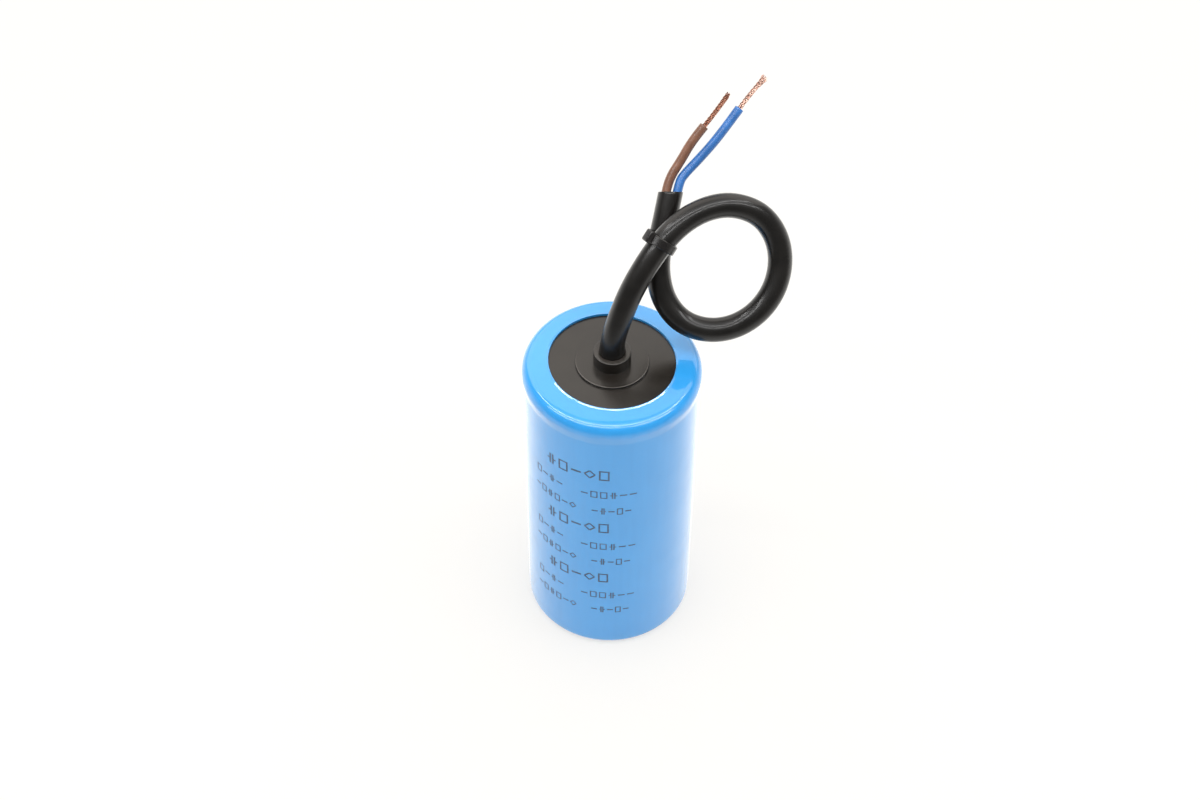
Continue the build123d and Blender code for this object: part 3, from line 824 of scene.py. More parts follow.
@dataclass
class Sleeve:
    """The blue film, shrunk over cover and can and turned in over both ends."""

    wall: float = 0.4 * MM
    mouth_long: float = 18.2 * MM
    mouth_short: float = 17.6 * MM
    mouth_turn: float = math.radians(-50)
    lip_bend: float = 0.10 * MM
    lip_rise: float = 0.28 * MM
    lip_width: float = 0.60 * MM
    lip_rows: tuple[float, ...] = (0.35, 0.5, 0.65, 0.8, 0.93)
    crown: float = 0.12 * MM
    shoulder_drop: float = 0.70 * MM
    rim_corner: float = 3.4 * MM
    cover_corner: float = 3.1 * MM
    rim_straight: float = 4.1 * MM
    rim_height: float = 6.9 * MM
    rim_overhang: float = 0.4 * MM
    bead_bend: float = 5.0 * MM
    base_corner: float = 2.5 * MM
    base_mouth: float = 18.5 * MM
    base_bend: float = 0.15 * MM
    around: int = 288
    outside_step: float = 1.6 * MM
    inside_step: float = 6 * MM
    crease: float = 50.0
    uneven: Unevenness = Unevenness()
    rim: float = field(init=False)
    top: float = field(init=False)

    def __post_init__(self) -> None:
        """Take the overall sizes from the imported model."""
        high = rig.box("shrink_sleeve")[1]
        self.rim, self.top = high.x, high.z

    @property
    def body(self) -> float:
        """Radius of the straight body."""
        return self.rim - self.rim_overhang

    @property
    def nominal(self) -> float:
        """Mean radius of the oval mouth."""
        return (self.mouth_long + self.mouth_short) / 2

    def outline(self) -> Outline:
        """Work out the film's closed section, outside first.

        Returns:
            Its points as (radius, height), from the mouth's lower edge.
        """
        mouth = self.nominal
        under, crown = self.top - self.wall, self.top + self.crown
        upper, lower = self.top - self.rim_straight, self.top - self.rim_height
        lip = [(mouth + self.lip_width * share, crown + self.lip_rise * (1 - share), 0.0)
               for share in self.lip_rows]
        outside = [
            (mouth, under, 0.0), (mouth, crown + self.lip_rise, self.lip_bend), *lip,
            (mouth + self.lip_width, crown, self.lip_bend),
            (self.rim, self.top - self.shoulder_drop, self.rim_corner),
            (self.rim, upper, self.bead_bend), (self.body, lower, self.bead_bend),
            (self.body, 0.0, self.base_corner),
            (self.base_mouth, 0.0, self.base_bend), (self.base_mouth, self.wall, 0.0),
        ]
        inner_rim, inner_body = self.rim - self.wall, self.body - self.wall
        inside = [
            (self.base_mouth, self.wall, 0.0),
            (inner_body, self.wall, self.base_corner - self.wall),
            (inner_body, lower, 0.0), (inner_rim, upper, 0.0),
            (inner_rim, under, self.cover_corner), (mouth, under, 0.0),
        ]
        outer_points = spaced(rounded(outside), self.outside_step)
        return outer_points + spaced(rounded(inside), self.inside_step)[1:-1]

    def mouth(self, angle: float) -> float:
        """Work out the radius of the oval mouth.

        Args:
            angle: the direction from +X.

        Returns:
            The radius that way.
        """
        turned = angle - self.mouth_turn
        across = math.hypot(self.mouth_short * math.cos(turned), self.mouth_long * math.sin(turned))
        return self.mouth_long * self.mouth_short / across

    def on_top(self, radius: float, height: float, angle: float) -> Pair:
        """Move a point of the turned-in top to where the real film lies.

        Args:
            radius: its distance from the axis.
            height: its height.
            angle: its direction from +X.

        Returns:
            Its radius and height on the oval mouth, the rippled lip and the leaning rim.
        """
        off, way = self.uneven, Vector((math.cos(angle), math.sin(angle), 0.0))
        near = 1 - smoothstep(self.nominal, self.body - off.mouth_end, radius)
        radius += (self.mouth(angle) - self.nominal) * near
        lip = smoothstep(self.top, self.top + self.lip_rise, height)
        height += off.ripple * lip * noise.noise(way * off.ripple_turns)
        outer = smoothstep(self.nominal + self.lip_width, self.body - off.lean_end, radius)
        return radius, height + off.lean * outer * max(0.0, math.sin(angle))

    def on_side(self, radius: float, height: float, angle: float) -> Pair:
        """Move a point of the body and the bead to where the real film lies.

        Args:
            radius: its distance from the axis.
            height: its height.
            angle: its direction from +X.

        Returns:
            Its radius and height on the waved side.
        """
        off, way = self.uneven, Vector((math.cos(angle), math.sin(angle), 0.0))
        flank = smoothstep(self.top - off.flank_foot[0], self.top - off.flank_foot[1], height)
        flank *= 1 - smoothstep(self.top - off.flank_head[0], self.top - off.flank_head[1], height)
        body = smoothstep(*off.wave_foot, height)
        body *= 1 - smoothstep(self.top - off.wave_drop, self.top, height)
        climb = Vector((0, 0, height * off.wave_rate))
        radius += off.wave * body * noise.noise(way * off.wave_turns + climb)
        radius += off.flank * flank * noise.noise(way * off.flank_turns)
        outer = smoothstep(self.top - self.rim_height, self.top - self.rim_straight, height)
        return radius, height + off.lean * outer * max(0.0, math.sin(angle))

    def point(self, radius: float, height: float, angle: float) -> Vector:
        """Place a point of the plain outline on the real film.

        Args:
            radius: its distance from the axis.
            height: its height.
            angle: its direction from +X.

        Returns:
            The point in space.
        """
        if height > self.top - self.rim_straight and radius < self.body:
            radius, height = self.on_top(radius, height, angle)
        elif radius >= self.body - self.wall - self.uneven.inside:
            radius, height = self.on_side(radius, height, angle)
        return Vector((radius * math.cos(angle), radius * math.sin(angle), height))

    def build(self) -> None:
        """Make the film."""
        piece = Piece("sleeve_film")
        angles = [math.tau * i / self.around for i in range(self.around)]
        rows = [[self.point(r, z, angle) for angle in angles] for r, z in self.outline()]
        piece.loft(rows, closed=True)
        piece.build(FILM.material(), "sleeve_film", ["shrink_sleeve"], crease=self.crease)


# ---- Print ----

class Mark(Enum):
    """A plain printed shape."""

    DASH = "dash"
    FRAME = "frame"
    PLATES = "plates"
    DIAMOND = "diamond"


@dataclass(frozen=True)
class Row:
    """A row of marks: its left end, its drop below the panel's first row, their height and cells."""

    left: float
    drop: float
    height: float
    cell: float
    marks: tuple[Mark, ...]


@dataclass
class Print:
    """Three like panels of plain marks, printed on the front of the film."""

    sleeve: Sleeve
    lift: float = 0.02 * MM
    stroke: float = 0.42 * MM
    stroke_height: float = 3.4 * MM
    dash_weight: float = 1.4
    plate_weight: float = 1.2
    plate_gap: float = 0.16
    filled: float = 0.74
    finest: float = 0.5 * MM
    panels: tuple[float, ...] = (78.8 * MM, 55.2 * MM, 31.5 * MM)
    rows: tuple[Row, ...] = (
        Row(-19.6 * MM, 0.0, 4.1 * MM, 4.1 * MM,
            (Mark.PLATES, Mark.FRAME, Mark.DASH, Mark.DIAMOND, Mark.FRAME)),
        Row(-24.4 * MM, 7.9 * MM, 2.8 * MM, 2.7 * MM,
            (Mark.FRAME, Mark.DASH, Mark.PLATES, Mark.DASH)),
        Row(-8.4 * MM, 7.9 * MM, 2.8 * MM, 2.8 * MM,
            (Mark.DASH, Mark.FRAME, Mark.FRAME, Mark.PLATES, Mark.DASH, Mark.DASH)),
        Row(-24.9 * MM, 15.1 * MM, 2.8 * MM, 2.6 * MM,
            (Mark.DASH, Mark.FRAME, Mark.PLATES, Mark.FRAME, Mark.DASH, Mark.DIAMOND)),
        Row(-5.2 * MM, 15.1 * MM, 2.8 * MM, 2.4 * MM,
            (Mark.DASH, Mark.PLATES, Mark.DASH, Mark.FRAME, Mark.DASH)),
    )

    def patch(self, piece: Piece, corners: Sequence[Pair]) -> None:
        """Lay one four-sided field of ink on the film.

        Args:
            piece: the mesh that takes it.
            corners: (distance round the can from its front, height) of its corners.
        """
        (x0, z0), (x1, z1), (x2, z2), (x3, z3) = corners
        longest = max(math.hypot(x1 - x0, z1 - z0), math.hypot(x2 - x3, z2 - z3))
        count = max(1, math.ceil(longest / self.finest))
        first = len(piece.points)
        for i in range(count + 1):
            share = i / count
            for x, z in ((x0 + (x1 - x0) * share, z0 + (z1 - z0) * share),
                         (x3 + (x2 - x3) * share, z3 + (z2 - z3) * share)):
                angle = x / self.sleeve.body - math.pi / 2
                piece.points.append(self.sleeve.point(self.sleeve.body + self.lift, z, angle))
        for i in range(count):
            a = first + 2 * i
            piece.faces.append((a, a + 2, a + 3, a + 1))

    def line(self, piece: Piece, start: Pair, end: Pair, width: float) -> None:
        """Lay a straight stroke of ink.

        Args:
            piece: the mesh that takes it.
            start: its start, as (distance round the can, height).
            end: its end.
            width: its width.
        """
        way = Vector((end[0] - start[0], end[1] - start[1])).normalized() * (width / 2)
        x, z = -way.y, way.x
        self.patch(piece, [
            (start[0] + x, start[1] + z), (end[0] + x, end[1] + z),
            (end[0] - x, end[1] - z), (start[0] - x, start[1] - z),
        ])

    def mark(self, piece: Piece, kind: Mark, left: float, low: float, width: float, height: float) -> None:
        """Draw one mark in its cell.

        Args:
            piece: the mesh that takes it.
            kind: which mark it is.
            left: the cell's left edge.
            low: the cell's lower edge.
            width: the cell's width.
            height: the cell's height.
        """
        stroke = self.stroke * height / self.stroke_height
        right, high, middle = left + width, low + height, low + height / 2
        centre = left + width / 2
        if kind is Mark.DASH:
            self.line(piece, (left, middle), (right, middle), self.dash_weight * stroke)
        elif kind is Mark.FRAME:
            for z in (low + stroke / 2, high - stroke / 2):
                self.line(piece, (left, z), (right, z), stroke)
            for x in (left + stroke / 2, right - stroke / 2):
                self.line(piece, (x, low + stroke), (x, high - stroke), stroke)
        elif kind is Mark.PLATES:
            plates = centre - self.plate_gap * width, centre + self.plate_gap * width
            face = self.plate_weight / 2 * stroke
            for x in plates:
                self.line(piece, (x, low), (x, high), self.plate_weight * stroke)
            self.line(piece, (left, middle), (plates[0] - face, middle), stroke)
            self.line(piece, (plates[1] + face, middle), (right, middle), stroke)
        else:
            tips = [(left, middle), (centre, high - stroke), (right, middle), (centre, low + stroke)]
            for here, there in zip(tips, tips[1:] + tips[:1]):
                self.line(piece, here, there, stroke)

    def build(self) -> None:
        """Print every panel."""
        piece = Piece("rating_marks")
        for foot in self.panels:
            for row in self.rows:
                for i, kind in enumerate(row.marks):
                    left = row.left + i * row.cell
                    self.mark(piece, kind, left, foot - row.drop, self.filled * row.cell, row.height)
        piece.build(INK.material(), "sleeve_film")


# ---- Lead ----

class Conductor(Enum):
    """The lead's two conductors, by the colour of their insulation."""

    BROWN = "brown"
    BLUE = "blue"


@dataclass(frozen=True)
class Core:
    """One core of the lead.

    Attributes:
        conductor: which of the two it is.
        side: -1 or 1, the side of the sheath's middle that it leaves on.
        insulated: its route past the sheath's end, measured from the gland's mouth.
        bare: the route of its bare strands, measured in the same way.
        insulation: the finish of its insulation.
        copper: the finish of its strands.
        fray: how far the strands open at the tip, as a share of the bundle's radius.
    """

    conductor: Conductor
    side: int
    insulated: Route
    bare: Route
    insulation: Moulded
    copper: Metal
    fray: float

    @property
    def colour(self) -> str:
        """The colour's name, which the core's nodes and pieces carry."""
        return self.conductor.value


CORES = (
    Core(Conductor.BROWN, -1,
         ((0.0180, 0.0339, 0.0404), (0.0209, 0.0369, 0.0449), (0.0241, 0.0392, 0.0482)),
         ((0.0306, 0.0445, 0.0555),),
         BROWN, DARKER_COPPER, 0.15),
    Core(Conductor.BLUE, 1,
         ((0.0192, 0.0319, 0.0374), (0.0225, 0.0344, 0.0399), (0.0265, 0.0371, 0.0436),
          (0.0303, 0.0402, 0.0476), (0.0336, 0.0434, 0.0510)),
         ((0.0405, 0.0485, 0.0580),),
         BLUE, BRIGHT_COPPER, 0.75),
)


@dataclass
class Bundle:
    """Bare strands, twisted into groups, and the groups twisted round a middle one.

    Attributes:
        groups, strands: how many groups there are, and how many strands in each.
        sides: how many sides a strand's section has.
        group_ring, strand_ring: distance of a group from the bundle's middle, and of a strand
            from its group's.
        strand_radius: a strand's radius.
        lay_length: the length of one turn.
        phase_drift: how unevenly the groups are spread, as a share of a group's place.
        least_loose: the least share of the fray that a group takes.
        uneven_cut: how many points of the line a strand may be too short.
        opening: the shares of the length between which the fray opens.
        crease: edges that turn by more than this many degrees stay sharp.
    """

    groups: int = 7
    strands: int = 3
    sides: int = 8
    group_ring: float = 0.47 * MM
    strand_ring: float = 0.11 * MM
    strand_radius: float = 0.115 * MM
    lay_length: float = 7.0 * MM
    phase_drift: float = 0.15
    least_loose: float = 0.3
    uneven_cut: int = 5
    opening: Pair = (0.6, 1.0)
    crease: float = 60.0

    def build(self, core: Core, path: Path) -> bpy.types.Object:
        """Make the bare conductor of a core.

        Args:
            core: the core that it belongs to.
            path: its middle line.

        Returns:
            The bundle.
        """
        piece = Piece(f"lead_strands_{core.colour}")
        draw = Random(f"strands {core.colour}")
        for group in range(self.groups):
            around = 0.0 if group == 0 else self.group_ring
            drift = draw.uniform(-self.phase_drift, self.phase_drift)
            phase = math.tau * (group + drift) / (self.groups - 1)
            fray = core.fray * draw.uniform(self.least_loose, 1.0)
            for strand in range(self.strands):
                stop = len(path.points) - 1 - draw.randint(0, self.uneven_cut)
                lean = math.tau * strand / self.strands
                piece.loft([self.ring(path, j, around, phase, lean, fray) for j in range(stop + 1)])
        return piece.build(core.copper.material(), "copper_strand", [f"copper_{core.colour}"],
                           crease=self.crease)

    def ring(self, path: Path, index: int, around: float, phase: float, lean: float,
             fray: float) -> list[Vector]:
        """Work out one ring of a strand.

        Args:
            path: the bundle's middle line.
            index: the point of that line.
            around: the group's distance from it.
            phase: the group's angle round it at its start.
            lean: the strand's angle round its group.
            fray: how far the group opens at the tip.

        Returns:
            The ring's points.
        """
        turn = math.tau * path.reach[index] / self.lay_length
        opened = 1 + fray * smoothstep(*self.opening, path.reach[index] / path.length)
        centre = path.points[index] + path.arm(index, phase + turn) * (around * opened)
        centre += path.arm(index, lean + 2 * turn) * (self.strand_ring * opened)
        arms = [path.arm(index, math.tau * k / self.sides) for k in range(self.sides)]
        return [centre + arm * self.strand_radius for arm in arms]


@dataclass
class Lead:
    """The round two-core lead: it leaves the gland, loops once and is tied where it crosses."""

    gland: Vector
    length: float = 0.167
    sheath_radius: float = 3.4 * MM
    sheath_sides: int = 64
    sheath_end: tuple[Pair, ...] = (
        (3.4 * MM, 0.12 * MM), (3.36 * MM, 0.03 * MM), (3.28 * MM, 0.0),
        (2.75 * MM, 0.02 * MM), (2.6 * MM, 0.35 * MM), (0.6 * MM, 0.4 * MM),
    )
    grip: float = 0.22 * MM
    grip_length: float = 4.0 * MM
    core_radius: float = 1.3 * MM
    core_sides: int = 32
    core_end: tuple[Pair, ...] = (
        (1.3 * MM, 0.10 * MM), (1.24 * MM, 0.0), (0.78 * MM, 0.0),
        (0.70 * MM, 0.3 * MM), (0.2 * MM, 0.35 * MM),
    )
    core_pitch: float = 3.0 * MM
    core_shift: float = 0.3 * MM
    core_start: float = 3.4 * MM
    core_tuck: float = 1.0 * MM
    copper_start: float = 5.5 * MM
    copper_fineness: int = 28
    route: Route = (
        (0.0, 0.0, -0.0100), (-0.0001, 0.0, 0.0006), (0.0003, 0.0005, 0.0050),
        (0.0019, 0.0021, 0.0108), (0.0050, 0.0055, 0.0185),
        (0.0094, 0.0100, 0.0250), (0.0139, 0.0143, 0.0298), (0.0193, 0.0182, 0.0332),
        (0.0256, 0.0213, 0.0348), (0.0325, 0.0230, 0.0345), (0.0399, 0.0229, 0.0313),
        (0.0447, 0.0204, 0.0254), (0.0462, 0.0165, 0.0190), (0.0445, 0.0115, 0.0130),
        (0.0400, 0.0075, 0.0080), (0.0335, 0.0051, 0.0046), (0.0260, 0.0044, 0.0039),
        (0.0188, 0.0058, 0.0059), (0.0139, 0.0093, 0.0108), (0.0120, 0.0140, 0.0170),
        (0.0125, 0.0185, 0.0230), (0.0140, 0.0230, 0.0290), (0.0153, 0.0280, 0.0340),
    )

    def placed(self, route: Route) -> list[Vector]:
        """Return a route that is measured from the gland's mouth in the model's frame."""
        return [self.gland + Vector(point) for point in route]

    def core_points(self, core: Core) -> list[Vector]:
        """Work out the route of a core, which starts square on the sheath's cut end.

        Args:
            core: the core.

        Returns:
            Its control points.
        """
        before, end = self.placed(self.route)[-2:]
        along = (end - before).normalized()
        across = (Vector((1, 0, 0)) - along * along.x).normalized()
        start = end + across * (self.core_shift + core.side * self.core_pitch / 2)
        return [start, start + along * self.core_start] + self.placed(core.insulated)

    def copper_points(self, core: Core) -> list[Vector]:
        """Work out the route of the bare strands, which start square on the insulation's end.

        Args:
            core: the core that they belong to.

        Returns:
            Their control points.
        """
        before, start = self.core_points(core)[-2:]
        along = (start - before).normalized()
        return [start, start + along * self.copper_start] + self.placed(core.bare)

    def sheath(self, path: Path) -> bpy.types.Object:
        """Make the sheath: it swells where the gland grips it, and its end is cut level along X.

        Args:
            path: its middle line.

        Returns:
            The sheath.
        """
        piece = Piece("lead_sheath")
        last = len(path.points) - 1
        rows = []
        for i in range(last):
            gripped = 1 - smoothstep(0.0, self.grip_length, path.points[i].z - self.gland.z)
            rows.append(path.ring(i, self.sheath_radius + self.grip * gripped, self.sheath_sides))
        end, along = path.points[last], path.along[last]
        level = Vector((0.0, along.y, along.z)).normalized()
        for radius, depth in self.sheath_end:
            row = []
            for point in path.ring(last, radius, self.sheath_sides):
                slant = (point - end).dot(level) / along.dot(level)
                row.append(point - along * (slant + depth))
            rows.append(row)
        piece.loft(rows)
        return piece.build(JACKET.material(), "cable_jacket", ["cable_sheath"])

    def insulation(self, core: Core, path: Path) -> bpy.types.Object:
        """Make a core's insulation, with a cleanly cut, slightly stretched end.

        Args:
            core: the core.
            path: its middle line.

        Returns:
            The insulation.
        """
        piece = Piece(f"lead_core_{core.colour}")
        last = len(path.points) - 1
        start = path.ring(0, self.core_radius, self.core_sides)
        rows = [[point - path.along[0] * self.core_tuck for point in start]]
        rows += [path.ring(i, self.core_radius, self.core_sides) for i in range(last)]
        for radius, depth in self.core_end:
            ring = path.ring(last, radius, self.core_sides)
            rows.append([point - path.along[last] * depth for point in ring])
        piece.loft(rows)
        return piece.build(core.insulation.material(), f"{core.colour}_insulation", [f"core_{core.colour}"])

    def build(self) -> None:
        path = Path("sheath_route", self.placed(self.route))
        sheath = self.sheath(path)
        others = []
        for core in CORES:
            line = Path(f"core_route_{core.colour}", self.core_points(core))
            others.append(self.insulation(core, line))
            bare = Path(f"copper_route_{core.colour}", self.copper_points(core), self.copper_fineness)
            others.append(Bundle().build(core, bare))
        others.append(LoopTie().build(path, self.sheath_radius))
        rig.cord(sheath, exit=self.gland, length=self.length, diameter=2 * self.sheath_radius,
                far_end="bare", stiffness="stiff", lay="loose", path=path.points, with_pieces=others)


@dataclass
class LoopTie:
    """The nylon tie round the two strands of the loop, with its head on the front one's left."""

    width: float = 2.7 * MM
    thickness: float = 0.85 * MM
    clearance: float = 0.12 * MM
    edge: float = 0.22 * MM
    edge_steps: int = 2
    drop: float = 0.15 * MM
    tilt: float = math.radians(8)
    front_share: Pair = (0.15, 0.45)
    back_share: Pair = (0.8, 1.0)
    half_turn_steps: int = 28
    head_turn: float = math.radians(30)
    head_length: float = 2.9 * MM
    head_width: float = 3.5 * MM
    head_height: float = 2.2 * MM
    head_bevel: float = 0.55 * MM
    head_steps: int = 5
    mouth_wall: float = 0.5 * MM
    mouth_depth: float = 0.5 * MM
    tail: float = 0.4 * MM
    crease: float = 35.0

    def build(self, path: Path, strand: float) -> bpy.types.Object:
        """Make the tie.

        Args:
            path: the middle line of the lead.
            strand: the lead's radius.

        Returns:
            The tie, strap and head in one.
        """
        low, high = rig.box("cable_tie")
        middle = (low + high) / 2
        front = path.nearest(middle, *self.front_share)
        back = path.nearest(middle, *self.back_share)
        along = (path.along[front] + path.along[back]).normalized()
        gap = path.points[back] - path.points[front]
        across = gap - along * gap.dot(along)
        apart = across.length
        across.normalize()
        place = Matrix((across.cross(along), across, along)).transposed().to_4x4()
        place.translation = (path.points[front] + path.points[back]) / 2 - along * self.drop
        place @= Matrix.Rotation(self.tilt, 4, "Y")
        piece = Piece("loop_tie")
        bore = strand + self.clearance
        piece.loft([[place @ point for point in ring] for ring in self.strap(bore, apart)], closed=True)
        head = place @ Matrix.Translation((0.0, -apart / 2, 0.0)) @ Matrix.Rotation(self.head_turn, 4, "Z")
        self.head(piece, head, -bore)
        log.info("loop_tie: strands %.2f mm apart", apart / MM)
        return piece.build(NYLON.material(), "tie_nylon", ["cable_tie"], crease=self.crease)

    def strap(self, bore: float, apart: float) -> list[list[Vector]]:
        """Carry the strap's section round both strands.

        Args:
            bore: the radius of its inner face round each strand.
            apart: how far apart the strands' middles are.

        Returns:
            The strap's rings.
        """
        half = self.width / 2
        section = [
            (0.0, -half + self.edge), (0.0, half - self.edge), (self.edge, half),
            (self.thickness - self.edge, half), (self.thickness, half - self.edge),
            (self.thickness, -half + self.edge), (self.thickness - self.edge, -half), (self.edge, -half),
        ]
        steps = self.half_turn_steps
        stations = [(1, math.pi * i / steps) for i in range(steps + 1)]
        stations += [(-1, math.pi + math.pi * i / steps) for i in range(steps + 1)]
        rings = []
        for end, angle in stations:
            out = Vector((math.cos(angle), math.sin(angle), 0.0))
            foot = Vector((0.0, end * apart / 2, 0.0)) + out * bore
            rings.append([foot + out * depth + Vector((0.0, 0.0, z)) for depth, z in section])
        return rings

    def block(self, work: bmesh.types.BMesh, centre: Vector, size: Vector, bevel: float, steps: int) -> None:
        """Add a block with rounded edges.

        Args:
            work: the mesh that takes it.
            centre: its middle.
            size: its size along each axis.
            bevel: how far its edges are rounded.
            steps: how many faces round each edge.
        """
        shape = Matrix.Translation(centre) @ Matrix.Diagonal((*size, 1.0))
        added = bmesh.ops.create_cube(work, size=1.0, matrix=shape)["verts"]
        edges = list(dict.fromkeys(edge for vertex in added for edge in vertex.link_edges))
        bmesh.ops.bevel(work, geom=edges, offset=bevel, segments=steps, affect="EDGES", profile=0.5)

    def head(self, piece: Piece, place: Matrix, inner: float) -> None:
        """Add the head, with the trimmed tail in its mouth.

        Args:
            piece: the mesh that takes them.
            place: the head's own frame: the strand's middle, with the head out on -X.
            inner: where the head's inner face lies along the frame's X.
        """
        work = bmesh.new()
        size = Vector((self.head_height, self.head_length, self.head_width))
        centre = Vector((inner - size.x / 2, 0.0, 0.0))
        self.block(work, centre, size, self.head_bevel, self.head_steps)
        mouth = max(work.faces, key=lambda face: face.calc_center_median().y)
        bmesh.ops.inset_region(work, faces=[mouth], thickness=self.mouth_wall)
        moved = bmesh.ops.extrude_discrete_faces(work, faces=[mouth])["faces"][0]
        bmesh.ops.translate(work, verts=moved.verts, vec=(0.0, -self.mouth_depth, 0.0))
        stub = Vector((self.thickness, self.tail + self.mouth_depth, self.width))
        centre.y = size.y / 2 + (self.tail - self.mouth_depth) / 2
        self.block(work, centre, stub, self.edge, self.edge_steps)
        work.verts.ensure_lookup_table()
        first = len(piece.points)
        piece.points += [place @ vertex.co for vertex in work.verts]
        piece.faces += [tuple(first + vertex.index for vertex in face.verts) for face in work.faces]
        work.free()


# ---- Studio ----

@dataclass(frozen=True)
class Softbox:
    """A rectangular lamp: turn is how far its width is turned from +X, about +Z."""

    name: str
    place: Triple
    size: Pair
    radiance: float
    colour: Colour = (1.0, 1.0, 1.0)
    turn: float = 0.0

    def hang(self, target: Vector) -> None:
        """Hang the lamp.

        Args:
            target: the point that it faces.
        """
        data = bpy.data.lights.new(self.name, "AREA")
        data.shape = "RECTANGLE"
        data.size, data.size_y = self.size
        data.energy = self.radiance * math.pi * self.size[0] * self.size[1]
        data.color = self.colour
        lamp = bpy.data.objects.new(self.name, data)
        place = Vector(self.place)
        back = (place - target).normalized()
        wide = Vector((math.cos(self.turn), math.sin(self.turn), 0.0))
        wide = (wide - back * wide.dot(back)).normalized()
        facing = Matrix((wide, back.cross(wide), back)).transposed().to_4x4()
        lamp.matrix_world = Matrix.Translation(place) @ facing
        lamp.visible_camera = False
        bpy.context.scene.collection.objects.link(lamp)


@dataclass(frozen=True)
class TubeArc:
    """An arc of short tubes overhead: front is its foremost point, and both ends bend back."""

    name: str
    front: Triple
    radius: float
    span: float
    count: int = 9
    width: float = 0.06
    radiance: float = 16.0

    def tubes(self) -> list[Softbox]:
        """Divide the arc into tubes.

        Returns:
            The tubes, from left to right.
        """
        length = 2 * self.radius * math.tan(self.span / self.count / 2)
        tubes = []
        for i in range(self.count):
            angle = self.span * ((i + 0.5) / self.count - 0.5)
            way = Vector((math.sin(angle), 1 - math.cos(angle), 0.0))
            place = Vector(self.front) + way * self.radius
            tubes.append(Softbox(f"{self.name}_{i}", tuple(place), (length, self.width), self.radiance,
                                 turn=angle))
        return tubes


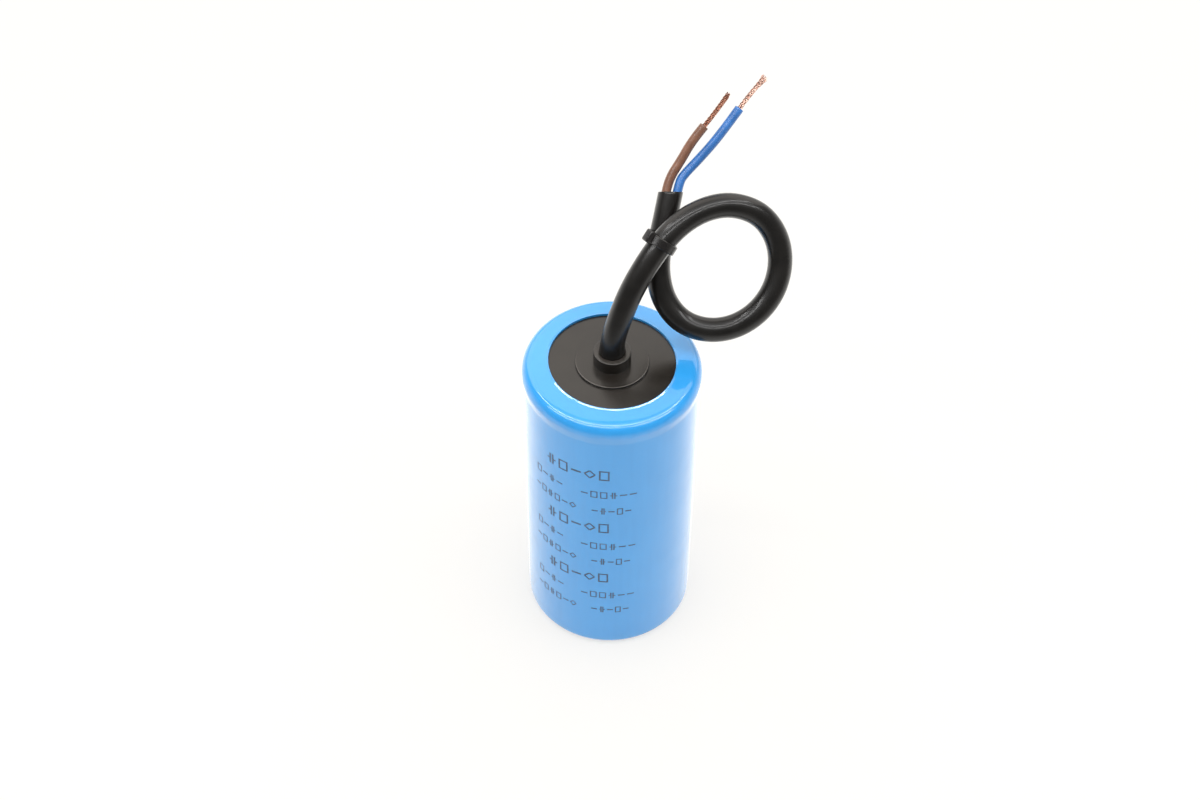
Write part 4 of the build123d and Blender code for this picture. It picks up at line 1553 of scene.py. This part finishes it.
@dataclass
class Studio:
    """A pale floor, soft overhead light and the camera."""

    eye: Triple = (0.0, -0.387083, 0.521520)
    pan: float = math.radians(-0.4844)
    tilt: float = math.radians(48.4506)
    roll: float = math.radians(0.5332)
    lens: float = 61.52
    sensor: float = 36.0
    target: Triple = (0.0, 0.0, 0.09)
    arcs: tuple[TubeArc, ...] = (
        TubeArc("tube_back", (0.0, -0.163, 1.05), 0.80, math.radians(150)),
        TubeArc("tube_front", (0.0, -0.50, 1.00), 1.30, math.radians(100)),
    )
    back_sky: Softbox = Softbox("back_sky", (0.0, 1.1, 1.15), (3.2, 1.3), 1.68, (1.0, 0.94, 0.875))
    ambient: float = 0.37
    mirrored: float = 0.2
    mirrored_behind: Ramp = (-0.5, 0.3)
    mirrored_low: Ramp = (0.10, 0.45, 1.0, 0.0)
    overhead: float = 0.9
    overhead_height: Ramp = (0.80, 0.88)
    overhead_front: Ramp = (-0.14, -0.06)
    overhead_back: Ramp = (0.25, 0.40, 1.0, 0.0)
    floor_size: float = 6.0
    floor_tones: tuple[Colour, Colour] = ((0.80, 0.80, 0.79), (0.82, 0.82, 0.815))
    floor_drift: float = 0.4
    floor_seen: Colour = (0.26, 0.256, 0.248)
    floor_tint: Colour = (1.0, 0.985, 0.955)
    floor_glow: float = 0.66
    floor_full: float = 1.2
    floor_front: Ramp = (-0.40, -0.14, 0.15, 0.80)
    floor_back: Ramp = (-0.03, 0.07, 0.0, 0.40)

    def camera(self) -> None:
        """Place the camera."""
        data = bpy.data.cameras.new("camera")
        data.lens = self.lens
        data.sensor_width = self.sensor
        camera = bpy.data.objects.new("camera", data)
        turn = Matrix.Rotation(-self.pan, 4, "Z") @ Matrix.Rotation(math.pi / 2 - self.tilt, 4, "X")
        turn @= Matrix.Rotation(self.roll, 4, "Z")
        camera.matrix_world = Matrix.Translation(Vector(self.eye)) @ turn
        bpy.context.scene.collection.objects.link(camera)
        bpy.context.scene.camera = camera

    def lamps(self) -> None:
        """Hang the tubes in front of and above the object, and the wide softbox behind it."""
        target = Vector(self.target)
        tubes = [tube for arc in self.arcs for tube in arc.tubes()]
        for lamp in [*tubes, self.back_sky]:
            lamp.hang(target)

    def world(self) -> None:
        """Light the scene evenly, with a white background for the camera.

        What gloss mirrors is darker, apart from the low light behind the object and a patch
        overhead.
        """
        world = bpy.data.worlds.new("studio")
        graph = Graph(world)
        camera = graph.add("ShaderNodeLightPath", output="Is Camera Ray")
        glossy = graph.add("ShaderNodeLightPath", output="Is Glossy Ray")
        direction = graph.add("ShaderNodeTexCoord", output="Generated")
        depth, height = graph.part(direction, "Y"), graph.part(direction, "Z")
        behind = depth.ramp(*self.mirrored_behind) * height.ramp(*self.mirrored_low)
        above = height.ramp(*self.overhead_height)
        above *= depth.ramp(*self.overhead_front) * depth.ramp(*self.overhead_back)
        mirrored = behind * (1.0 - self.mirrored) + above * self.overhead + self.mirrored
        level = glossy * (mirrored - self.ambient) + self.ambient
        light = {"Color": (1.0, 1.0, 1.0), "Strength": level.larger(camera)}
        background = graph.add("ShaderNodeBackground", inputs=light)
        graph.add("ShaderNodeOutputWorld", inputs={"Surface": background})
        bpy.context.scene.world = world

    def floor(self) -> None:
        """Lay the floor: it shows almost white, keeps a faint shadow and glows in what gloss mirrors."""
        graph = Graph(bpy.data.materials.new("pale_floor"))
        camera = graph.add("ShaderNodeLightPath", output="Is Camera Ray")
        glossy = graph.add("ShaderNodeLightPath", output="Is Glossy Ray")
        tone = graph.mix(graph.noise(self.floor_drift), *self.floor_tones)
        plain = graph.add("ShaderNodeBsdfDiffuse", inputs={"Color": tone})
        faint = graph.add("ShaderNodeBsdfDiffuse", inputs={"Color": self.floor_seen})
        ahead = graph.part(graph.place(), "Y")
        bounced = ahead.ramp(*self.floor_front) + ahead.ramp(*self.floor_back)
        level = camera * self.floor_glow + (1.0 - camera) * bounced
        light = graph.mix(level * (1.0 / self.floor_full), (0.0, 0.0, 0.0), self.floor_tint)
        glow = graph.add("ShaderNodeEmission", inputs={"Color": light, "Strength": self.floor_full})
        shown = graph.add("ShaderNodeAddShader", inputs={0: faint, 1: glow})
        both = graph.add("ShaderNodeMixShader", inputs={0: camera.larger(glossy), 1: plain, 2: shown})
        graph.add("ShaderNodeOutputMaterial", inputs={"Surface": both})
        half = self.floor_size / 2
        corners = [(-half, -half, 0), (half, -half, 0), (half, half, 0), (-half, half, 0)]
        mesh = bpy.data.meshes.new("floor")
        mesh.from_pydata(corners, [], [(0, 1, 2, 3)])
        mesh.materials.append(graph.owner)
        floor = bpy.data.objects.new("floor", mesh)
        bpy.context.scene.collection.objects.link(floor)
        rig.stage(floor)

    def build(self) -> None:
        """Set the light, the floor and the camera."""
        self.camera()
        self.world()
        self.floor()
        self.lamps()
        bpy.context.scene.view_settings.view_transform = "Standard"


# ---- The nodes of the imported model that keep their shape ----

def dress_nodes() -> None:
    """Give every remaining node its finish; like nodes share one material."""
    finishes = {
        "cover": COVER, "base_disc": FIBRE, "can": CAN, "bottom_cup": NATURAL, "hold_down": NATURAL,
        "winding": ROLL, "winding_wrap": WRAP, "sealing_disc": PHENOLIC, "seal_ring": SEAL,
        "vent_plug": VENT, "inner_tie": NYLON,
    }
    for core in CORES:
        finishes |= {
            f"tab_{core.colour}": TERMINAL, f"rivet_{core.colour}": TERMINAL,
            f"lower_washer_{core.colour}": TERMINAL, f"upper_washer_{core.colour}": TINNED,
            f"tag_{core.colour}": TINNED, f"tail_{core.colour}": core.insulation,
            f"solder_{core.colour}": SOLDER,
        }
    made = {finish.name: finish.material() for finish in dict.fromkeys(finishes.values())}
    for node, finish in finishes.items():
        dress(node, made[finish.name])


def write_sizes() -> None:
    """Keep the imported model's box and the dressed model's box."""
    with open("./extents.json", "w", encoding="utf-8") as out:
        boxes = {"cad": cad_box, "visual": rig.bounds()}
        json.dump({name: [list(corner) for corner in box] for name, box in boxes.items()}, out)


def main() -> None:
    """Build every sub-assembly in order."""
    logging.basicConfig(level=logging.INFO, format="%(name)s: %(message)s")
    Studio().build()
    gland_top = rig.box("cover")[1].z
    Lead(gland=Vector((0.0, 0.0, gland_top))).build()
    sleeve = Sleeve()
    sleeve.build()
    Print(sleeve).build()
    dress_nodes()
    write_sizes()


if __name__ == "__main__":
    main()
